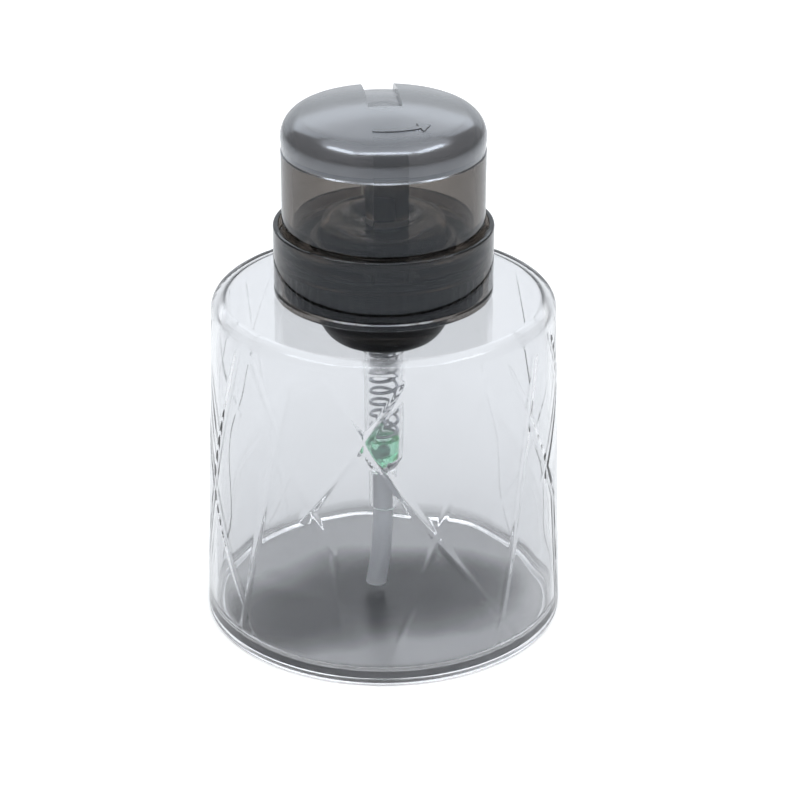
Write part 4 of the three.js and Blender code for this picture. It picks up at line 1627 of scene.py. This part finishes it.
@dataclass
class Closure:
    """What screws onto the neck: the black screw ring and the smoky collar that turns with it."""

    skirt_bore: float = 17.5
    skirt_radius: float = 20.3
    skirt_low: float = 72.1
    plate_radius: float = 20.9
    plate_ends: Pair = (79.85, 80.95)
    mouth: float = 13.5
    ribs: int = 60
    rib_depth: float = 0.22
    rib_ends: Pair = (72.8, 79.3)
    rib_piece: float = 0.6

    collar_inner: float = 21.2
    collar_outer: float = 22.3
    collar_low: float = 71.5
    collar_high: float = 86.2
    collar_edge: float = 0.5
    band: float = 0.3
    band_heights: tuple[float, ...] = (72.8, 73.2, 73.6)
    bead: float = 0.5
    bead_heights: tuple[float, ...] = (79.0, 79.35, 79.7)
    ledge_inner: float = 19.3
    ledge_ends: Pair = (82.55, 83.45)
    gap_half: float = 15.0
    gap_edge: float = 1.0
    gap_rest: float = 0.02

    def ribbed(self, turn: Array, radius: Array, height: Array) -> tuple[Array, Array]:
        """Draws the ribs in from the skirt's outside, as even waves.

        Args:
            turn: Radians from the front.
            radius: The plain form's radius.
            height: The plain form's height.

        Returns:
            The new radius and the height.
        """
        on_skirt = (np.abs(radius - self.skirt_radius) < 0.1) & (height > self.rib_ends[0])
        on_skirt &= height < self.rib_ends[1]
        wave = 0.5 - 0.5 * np.cos(self.ribs * turn)
        return np.where(on_skirt, radius - self.rib_depth * wave, radius), height

    def screw_ring(self) -> Surface:
        """The screw ring: a ribbed skirt, and a plate with a mouth.

        Its own thread isn't cut: the skirt's bore clears the thread of the neck.

        Returns:
            The closed surface.
        """
        low, high = self.plate_ends
        corners = [
            (self.skirt_bore, self.skirt_low, 0.3),
            (self.skirt_radius, self.skirt_low, 0.5),
            (self.skirt_radius, low, 0.2),
            (self.plate_radius, low),
            (self.plate_radius, high),
            (self.mouth, high, 0.3),
            (self.mouth, low, 0.2),
            (self.skirt_bore, low, 0.2),
        ]
        skirt = (self.skirt_low + 0.2, low - 0.25)
        rows = refined(outline(corners), self.rib_piece, lambda r, z: skirt[0] < z < skirt[1])
        return revolve(rows, 480, self.ribbed)

    def gapped(self, turn: Array, radius: Array, height: Array) -> tuple[Array, Array]:
        """Draws the ledge back into the wall over the front gap, within a degree at each end.

        Args:
            turn: Radians from the front.
            radius: The plain form's radius.
            height: The plain form's height.

        Returns:
            The new radius and the height.
        """
        wall = self.collar_inner - self.gap_rest
        away = np.abs((turn + np.pi) % (2 * np.pi) - np.pi) - math.radians(self.gap_half)
        share = np.clip(away / math.radians(self.gap_edge), 0, 1)
        on_ledge = (height > self.ledge_ends[0] - 1) & (height < self.ledge_ends[1] + 1)
        on_ledge &= radius < wall
        return np.where(on_ledge, wall + (radius - wall) * share, radius), height

    def collar(self) -> Surface:
        """The collar: a wall with a band groove at its foot and a ledge inside with a front gap.

        Returns:
            The closed surface.
        """
        inner, outer, (low, high) = self.collar_inner, self.collar_outer, self.ledge_ends
        corners = [
            (inner, self.collar_low, 0.2),
            (outer, self.collar_low, self.collar_edge),
            (outer, self.band_heights[0], 0.08),
            (outer - self.band, self.band_heights[1], 0.1),
            (outer, self.band_heights[2], 0.08),
            (outer, self.collar_high, self.collar_edge),
            (inner, self.collar_high, 0.2),
            (inner, high, 0.25),
            (self.ledge_inner, high, 0.2),
            (self.ledge_inner, low, 0.2),
            (inner, low, 0.25),
            (inner, self.bead_heights[2], 0.1),
            (inner - self.bead, self.bead_heights[1], 0.1),
            (inner, self.bead_heights[0], 0.1),
        ]
        return revolve(outline(corners), 360, self.gapped)

    def build(self, bench: Bench) -> None:
        """Makes the screw ring and the collar.

        Args:
            bench: Where they are finished.
        """
        ring, wall = self.screw_ring(), self.collar()
        bench.piece("screw_ring", ring, Finish.BLACK, "screw_closure", "closure")
        bench.piece("collar_ring", wall, Finish.SATIN, "collar", "closure")


@dataclass(frozen=True)
class Hinge:
    """Where the lid's hinge lies, and what it takes of the pieces that it joins."""

    y: float = 17.9
    z: float = 90.2
    pin_radius: float = 0.98
    pin_half: float = 6.1
    pin_edge: float = 0.15
    bore: float = 1.15

    def pin(self) -> Surface:
        """The hinge pin."""
        return bar_across(self.y, self.z, self.pin_radius, self.pin_half, self.pin_edge)

    def hole(self, half: float) -> Surface:
        """What is taken away for the pin, so far out on both sides."""
        return bar_across(self.y, self.z, self.bore, half)

    def arc(self, radius: float, start: float, end: float, count: int) -> Array:
        """An arc round the pin, from one angle in degrees to another, as rows of Y and Z."""
        angle = np.radians(np.linspace(start, end, count))
        return np.stack([self.y + radius * np.cos(angle), self.z + radius * np.sin(angle)], -1)


HINGE = Hinge()


@dataclass
class Swivel:
    """What turns with the lid when it is locked: the swivel base and the hinge pin."""

    bore: float = 13.5
    radius: float = 20.9
    ring_ends: Pair = (81.25, 82.25)
    rim_radius: float = 14.7
    rim_top: float = 84.15
    post_half: float = 3.05
    post_low: float = 81.75
    post_sides: Pair = (15.3, 18.8)
    post_shoulders: Pair = (88.0, 87.7)
    post_radius: float = 2.2
    hole_half: float = 8.0
    slot_half: float = 3.75
    slot_back: float = -16.0
    slot_ends: Pair = (78.0, 86.0)

    def base(self) -> bpy.types.Mesh:
        """The swivel base: a flat ring with a guide rim, a hinge post and a slot for the tongue.

        Returns:
            The mesh.
        """
        low, high = self.ring_ends
        corners = [
            (self.bore, low),
            (self.radius, low),
            (self.radius, high),
            (self.rim_radius, high, 0.2),
            (self.rim_radius, self.rim_top),
            (self.bore, self.rim_top),
        ]
        (front, back), (front_top, back_top) = self.post_sides, self.post_shoulders
        foot = [[front, self.post_low], [back, self.post_low], [back, back_top]]
        post = np.vstack([foot, HINGE.arc(self.post_radius, -45, 180, 28), [[front, front_top]]])
        slot = box(
            (-self.slot_half, -PAST, self.slot_ends[0]),
            (self.slot_half, self.slot_back, self.slot_ends[1]),
        )
        steps = [
            (Cut.ADD, prism(post, -self.post_half, self.post_half, 0)),
            (Cut.TAKE, HINGE.hole(self.hole_half)),
            (Cut.TAKE, slot),
        ]
        return carve("swivel", revolve(outline(corners), 240), steps)

    def build(self, bench: Bench) -> None:
        """Makes the swivel base and the pin."""
        bench.piece("swivel", self.base(), Finish.SMOKE, "swivel_base", "swivel")
        bench.piece("pin", HINGE.pin(), Finish.SMOKE, "hinge_pin", "swivel")


@dataclass
class Dish:
    """The dish that a cotton pad presses on, with the stem's socket below it."""

    radius: float = 12.7
    rim_inner: float = 9.4
    rim_top: float = 88.05
    rim_fillet: float = 2.5
    skirt_bore: float = 11.5
    skirt_low: float = 80.45
    hollow_flat: float = 4.0
    hollow_low: float = 86.05
    hole: float = 0.8
    under_rim: float = 86.85
    under_flat: float = 84.85
    under_slope: float = 5.2
    socket_radius: float = 3.4
    socket_bore: float = 2.15
    socket_low: float = 75.1

    def form(self) -> Surface:
        """The dish: a soft rim over a shallow hollow, a skirt, and the stem's socket below.

        The hollow rises from its flat middle to the rim as a cosine.

        Returns:
            The closed surface.
        """
        rise = np.linspace(0, 1, 16)
        wide, deep = self.rim_inner - self.hollow_flat, self.rim_top - self.hollow_low
        up = self.hollow_low + deep * (1 - np.cos(np.pi * rise)) / 2
        hollow = np.stack([self.hollow_flat + wide * rise, up], -1)
        middle = outline(
            [
                (self.socket_bore, self.under_flat),
                (self.hole, self.under_flat),
                (self.hole, self.hollow_low),
                (self.hollow_flat, self.hollow_low, 0),
            ]
        )
        rest = outline(
            [
                (self.rim_inner, self.rim_top, 0),
                (self.radius, self.rim_top, self.rim_fillet),
                (self.radius, self.skirt_low),
                (self.skirt_bore, self.skirt_low),
                (self.skirt_bore, self.under_rim, 1.3),
                (self.rim_inner, self.under_rim, 0.5),
                (self.under_slope, self.under_flat, 0.5),
                (self.socket_radius, self.under_flat, 0.3),
                (self.socket_radius, self.socket_low),
                (self.socket_bore, self.socket_low),
                (self.socket_bore, self.under_flat, 0),
            ]
        )
        return revolve(np.vstack([middle[4:-2], hollow, rest[1:-1]]), 240)

    def build(self, bench: Bench) -> None:
        """Makes the dish."""
        bench.piece("pad_dish", self.form(), Finish.SMOKE, "dish", "plunger")


@dataclass
class Lid:
    """The flip lid and the seal at the foot of its boss."""

    top: float = 112.0
    radius: float = 20.5
    wall: float = 2.2
    fillet: float = 5.4
    crown: float = 62.0
    bottom: float = 84.05
    rim_fillet: float = 0.25
    roof_line: float = 101.6
    under_fillet: float = 0.4
    roof_bevel: float = 0.22
    bevel_slope: float = 1.28
    ledge: float = 0.4
    ledge_slope: float = 1.5
    below: float = 80.0
    segments: int = 256

    channel_width: float = 6.7
    channel_depth: float = 1.2
    channel_reach: float = 4.0
    slot_front: float = 15.0
    slot_top: float = 93.4
    lug_width: float = 3.1
    lug_reach: float = 2.3
    lug_back: float = 20.0
    hole_spare: float = 0.15

    tongue_half: float = 3.25
    tongue_sides: Pair = (-16.5, -18.6)
    tongue_ends: Pair = (81.25, 106.6)
    hook: float = -19.8
    hook_heights: Pair = (82.1, 82.4)
    boss_radius: float = 3.7
    boss_bore: float = 2.0
    boss_heights: tuple[float, ...] = (87.8, 109.8, 110.9)
    arrow_turns: tuple[float, ...] = (-13.0, 25.0, 35.0)
    arrow_radius: float = 14.3
    arrow_half: float = 0.42
    arrow_head: float = 1.5
    arrow_rise: float = 0.22

    seal_radius: float = 3.68
    seal_stem: float = 1.83
    seal_heights: tuple[float, ...] = (86.35, 87.65, 91.65)

    def form(self, inset: float, bottom: float, step: float = 0.0) -> Surface:
        """The lid's outer form drawn in by a depth: a wall, a fillet and a crown arc.

        The fillet's centre lies where a circle of the fillet's radius touches both the wall and
        the crown, so there is no corner between them.

        Args:
            inset: How far the form is drawn in all round.
            bottom: Where its wall begins.
            step: How much wider the wall is below the roof. Without it the roof begins in a bevel.

        Returns:
            The closed surface.
        """
        radius, fillet, crown = self.radius - inset, self.fillet - inset, self.crown - inset
        lean = math.asin((radius - fillet) / (crown - fillet))
        centre = self.top - self.crown
        height = centre + (crown - fillet) * math.cos(lean)
        bend = np.linspace(0, np.pi / 2 - lean, 20)
        flat, up = radius - fillet + fillet * np.cos(bend), height + fillet * np.sin(bend)
        arc = np.stack([flat, up], -1)
        over = np.linspace(np.pi / 2 - lean, np.pi / 2, 16)[1:]
        dome = np.stack([crown * np.cos(over), centre + crown * np.sin(over)], -1)
        dome[-1, 0] = 0
        wide = radius + step
        corners = [(0, bottom, 0), (wide, bottom, self.rim_fillet), (wide, self.roof_line, 0)]
        bevel = 0.0 if step else self.roof_bevel
        low = self.roof_line + self.ledge_slope * step + self.bevel_slope * bevel
        out, up = np.linspace((radius - bevel, low), (radius, height - self.under_fillet), 5).T
        wall = np.stack([out, up], -1)
        return revolve(np.vstack([outline(corners, closed=False), wall, arc, dome]), self.segments)

    def ring_place(self, radius: float, turn: Array) -> Array:
        """Places on a circle round the axis, as rows of X and Y."""
        return np.stack([radius * np.sin(turn), -radius * np.cos(turn)], -1)

    def arrow(self) -> Surface:
        """A curved arrow on the roof's front, seen from above, drawn out upwards.

        Its shaft follows a circle round the axis, and its head is a triangle that points the way
        the lid turns to open.

        Returns:
            The closed surface.
        """
        start, neck, tip = np.radians(self.arrow_turns)
        turn = np.linspace(start, neck, 24)
        middle, half, wide = self.arrow_radius, self.arrow_half, self.arrow_head
        outer, inner = (self.ring_place(radius, turn) for radius in (middle + half, middle - half))
        corners = ((middle + wide, neck), (middle, tip), (middle - wide, neck))
        head = [self.ring_place(radius, np.array(angle)) for radius, angle in corners]
        return prism(np.vstack([outer, head, inner[::-1]]), self.top - 5.0, self.top, 2)

    def tongue(self) -> Surface:
        """The latch tongue: a flat bar down the lid's front with a hook at its foot.

        Returns:
            The closed surface.
        """
        (back, front), (low, high) = self.tongue_sides, self.tongue_ends
        hook_top, hook_root = self.hook_heights
        foot = [(back, high), (back, low), (self.hook, low), (self.hook, hook_top)]
        flat = np.array(foot + [(front, hook_root), (front, high)])
        return prism(flat, -self.tongue_half, self.tongue_half, 0)

    def boss(self) -> Surface:
        """The boss that hangs from the roof, with a bore for the seal.

        Returns:
            The closed surface.
        """
        low, roof, top = self.boss_heights
        corners = [
            (0, roof, 0),
            (self.boss_bore, roof, 0),
            (self.boss_bore, low),
            (self.boss_radius, low),
            (self.boss_radius, top, 0),
            (0, top, 0),
        ]
        return revolve(outline(corners, closed=False), 96)

    def channel(self) -> Surface:
        """What the channel takes of the roof: a box less the roof drawn in by its depth.

        Returns:
            The closed surface.
        """
        half = self.channel_width / 2
        whole = box((-half, -self.channel_reach, self.slot_top), (half, PAST, ABOVE))
        roof = self.form(self.channel_depth, self.below)
        return surface_of(carve("channel", whole, [(Cut.TAKE, roof)]))

    def shell(self) -> bpy.types.Mesh:
        """The lid: its form less its hollow, with tongue, boss, channel, slot, lugs and arrow.

        Returns:
            The mesh.
        """
        half, under = self.channel_width / 2, self.bottom - 3
        low, high = HINGE.z - self.lug_reach, HINGE.z + self.lug_reach
        back = [[self.lug_back, low], [self.lug_back, high]]
        lug = np.vstack([HINGE.arc(self.lug_reach, 90, 270, 24), back])
        channel = self.channel()
        mark = carve("arrow", self.arrow(), [(Cut.KEEP, self.form(-self.arrow_rise, self.below))])
        steps = [
            (Cut.TAKE, self.form(self.wall + self.ledge, under, self.ledge)),
            (Cut.ADD, self.tongue()),
            (Cut.ADD, self.boss()),
            (Cut.TAKE, channel),
            (Cut.TAKE, box((-half, self.slot_front, under), (half, PAST, self.slot_top))),
            (Cut.ADD, prism(lug, half, half + self.lug_width, 0)),
            (Cut.ADD, prism(lug, -half - self.lug_width, -half, 0)),
            (Cut.TAKE, HINGE.hole(half + self.lug_width - self.hole_spare)),
            (Cut.ADD, surface_of(mark)),
        ]
        return carve("lid", self.form(0.0, self.bottom), steps)

    def seal(self) -> Surface:
        """The seal: a plug in the boss's bore on a round head.

        Returns:
            The closed surface.
        """
        low, high, top = self.seal_heights
        corners = [
            (0, low, 0),
            (self.seal_radius, low, 0.35),
            (self.seal_radius, high),
            (self.seal_stem, high),
            (self.seal_stem, top, 0.3),
            (0, top, 0),
        ]
        return revolve(outline(corners, closed=False), 96)

    def build(self, bench: Bench) -> None:
        """Makes the lid and the seal."""
        bench.piece("flip_lid", self.shell(), Finish.ROOFED, "lid", "lid", 30.0)
        bench.piece("seal", self.seal(), Finish.SEAL, "lid_seal", "lid")


# Studio


DAYLIGHT: Colour = (0.95, 0.975, 1.0)
UPPER: Triple = (0, -18, 108)
MIDDLE: Triple = (0, 0, 100)


class LampShape(Enum):
    """The outline of a lamp's face."""

    SQUARE = "RECTANGLE"
    OVAL = "ELLIPSE"


@dataclass
class Lamp:
    """A soft lamp: where it hangs, where it points, its two sizes and its power in watts."""

    name: str
    place: Triple
    aim: Triple
    size: Pair
    power: float
    colour: Colour = DAYLIGHT
    shape: LampShape = LampShape.SQUARE


@dataclass
class Studio:
    """The camera, the floor, the lamps and the world.

    Attributes:
        turn: Where the camera stands, in degrees from the front.
        plan_distance: How far it stands from the axis, seen from above.
        height: How high it stands.
        pitch: Its tilt in degrees, 90 being level.
        lens: Its focal length in millimetres.
        sensor: The width of its sensor.
        shift: How far the picture is moved, as a share of its width.
        clip: The nearest and the farthest that it sees, in metres.
        floor_half: Half the floor's width.
        floor_ends: Its lower and its upper face.
        floor_grey: The floor's own colour.
        floor_seen: Its glow to the camera, near by and far away.
        floor_mirrored: Its glow in reflections.
        floor_far: From where to where the far glow sets in.
        surround: The world's colour.
        world_seen: The world's strength to the camera and through glass, above the even one.
        world_mirrored: Its strength in reflections, above the even one.
        world_even: Its strength as a light.
        bounces: How often light may bounce in all, off gloss and through clear faces.
        lamps: The lamps.
    """

    turn: float = -4.5
    plan_distance: float = 482.1
    height: float = 276.0
    pitch: float = 64.5
    lens: float = 115.7
    sensor: float = 36.0
    shift: Pair = (0.0205, 0.0019)
    clip: Pair = (0.01, 10.0)
    floor_half: float = 2500.0
    floor_ends: Pair = (-20.0, -0.02)
    floor_grey: Colour = (0.86, 0.86, 0.86)
    floor_seen: Pair = (0.35, 0.65)
    floor_mirrored: float = 0.1
    floor_far: Pair = (300.0, 900.0)
    surround: Colour = (0.97, 0.98, 1.0)
    world_seen: float = 0.8
    world_mirrored: float = 0.25
    world_even: float = 0.2
    bounces: tuple[int, int, int] = (32, 12, 24)
    lamps: list[Lamp] = field(
        default_factory=lambda: [
            Lamp("ceiling", (0, -110, 590), (0, -110, 60), (1300, 640), 2.36, shape=LampShape.OVAL),
            Lamp("strip", (-10, -400, 580), UPPER, (560, 90), 1.0),
            Lamp("strip_left", (-385, -215, 515), UPPER, (340, 90), 0.6),
            Lamp("strip_right", (375, -215, 515), UPPER, (340, 90), 0.6),
            Lamp("behind", (0, 430, 540), MIDDLE, (1100, 480), 2.0, (0.92, 0.96, 1.0)),
            Lamp("low", (0, 700, 290), MIDDLE, (1300, 560), 1.0, (0.88, 0.94, 1.0)),
        ]
    )

    def camera(self) -> None:
        """Sets the camera where the photograph was taken from."""
        data = bpy.data.cameras.new("camera")
        data.lens, data.sensor_width = self.lens, self.sensor
        data.shift_x, data.shift_y = self.shift
        data.clip_start, data.clip_end = self.clip
        made = new_object("camera", data)
        turn, away = math.radians(self.turn), self.plan_distance
        place = (away * math.sin(turn), -away * math.cos(turn), self.height)
        made.location = [v * MM for v in place]
        made.rotation_euler = (math.radians(self.pitch), 0.0, turn)
        bpy.context.scene.camera = made

    def floor(self) -> None:
        """A wide pale floor that shows white to the camera and keeps the shadow.

        Far out, where the lamps don't reach, the floor's own white takes over.
        """
        half, (low, high) = self.floor_half, self.floor_ends
        mesh = to_mesh("floor", box((-half, -half, low), (half, half, high)))
        made, tree = new_material("pale_floor")
        path = tree.node("ShaderNodeLightPath")
        far = tree.fade(tree.length(tree.place()), self.floor_far)
        seen = path * (self.floor_seen[0] + self.floor_seen[1] * far)
        seen = seen + tree.other(path, "Is Glossy Ray") * self.floor_mirrored
        matt = tree.node("ShaderNodeBsdfDiffuse", {}, opaque(self.floor_grey))
        glow = tree.node("ShaderNodeEmission", {}, (1.0, 1.0, 1.0, 1.0), seen)
        both = tree.node("ShaderNodeAddShader", {}, matt, glow)
        tree.node("ShaderNodeOutputMaterial", {}, both)
        mesh.materials.append(made)
        new_object("floor", mesh)

    def world(self) -> None:
        """An even pale surround: white where it is seen, softer where it lights."""
        world = bpy.data.worlds.new("studio")
        world.use_nodes = True
        bpy.context.scene.world = world
        tree = Tree(world.node_tree)
        path = tree.node("ShaderNodeLightPath")
        through = tree.other(path, "Is Transmission Ray")
        mirrored = tree.other(path, "Is Glossy Ray")
        seen = path * self.world_seen + through * self.world_seen
        strength = seen + mirrored * self.world_mirrored + self.world_even
        back = tree.node("ShaderNodeBackground", {}, opaque(self.surround), strength)
        tree.node("ShaderNodeOutputWorld", {}, back)

    def light(self) -> None:
        """Hangs the lamps, each turned about X and Z so that its face looks at its aim."""
        for lamp in self.lamps:
            data = bpy.data.lights.new(lamp.name, "AREA")
            data.shape, data.size, data.size_y = lamp.shape.value, *(v * MM for v in lamp.size)
            data.energy, data.color = lamp.power, lamp.colour
            made = new_object(lamp.name, data)
            made.location = [v * MM for v in lamp.place]
            away = np.array(lamp.place, float) - np.array(lamp.aim, float)
            tilt = math.atan2(math.hypot(away[0], away[1]), away[2])
            made.rotation_euler = (tilt, 0.0, math.atan2(away[0], -away[1]))

    def build(self) -> None:
        """Sets up the whole studio."""
        self.camera()
        self.floor()
        self.world()
        self.light()
        scene = bpy.context.scene
        scene.view_settings.view_transform = "Standard"
        scene.cycles.max_bounces = scene.cycles.transmission_bounces = self.bounces[0]
        scene.cycles.glossy_bounces, scene.cycles.transparent_max_bounces = self.bounces[1:]
        LOG.info("studio: %d lamps", len(self.lamps))


def main() -> None:
    """Loads the frame and builds the studio, the bottle, the pump and the head round it."""
    logging.basicConfig(level=logging.INFO, format="%(name)s %(message)s")
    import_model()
    Studio().build()
    bench = Bench()
    Bottle().build(bench)
    Pump().build(bench)
    Closure().build(bench)
    Swivel().build(bench)
    Dish().build(bench)
    Lid().build(bench)


if __name__ == "__main__":
    main()
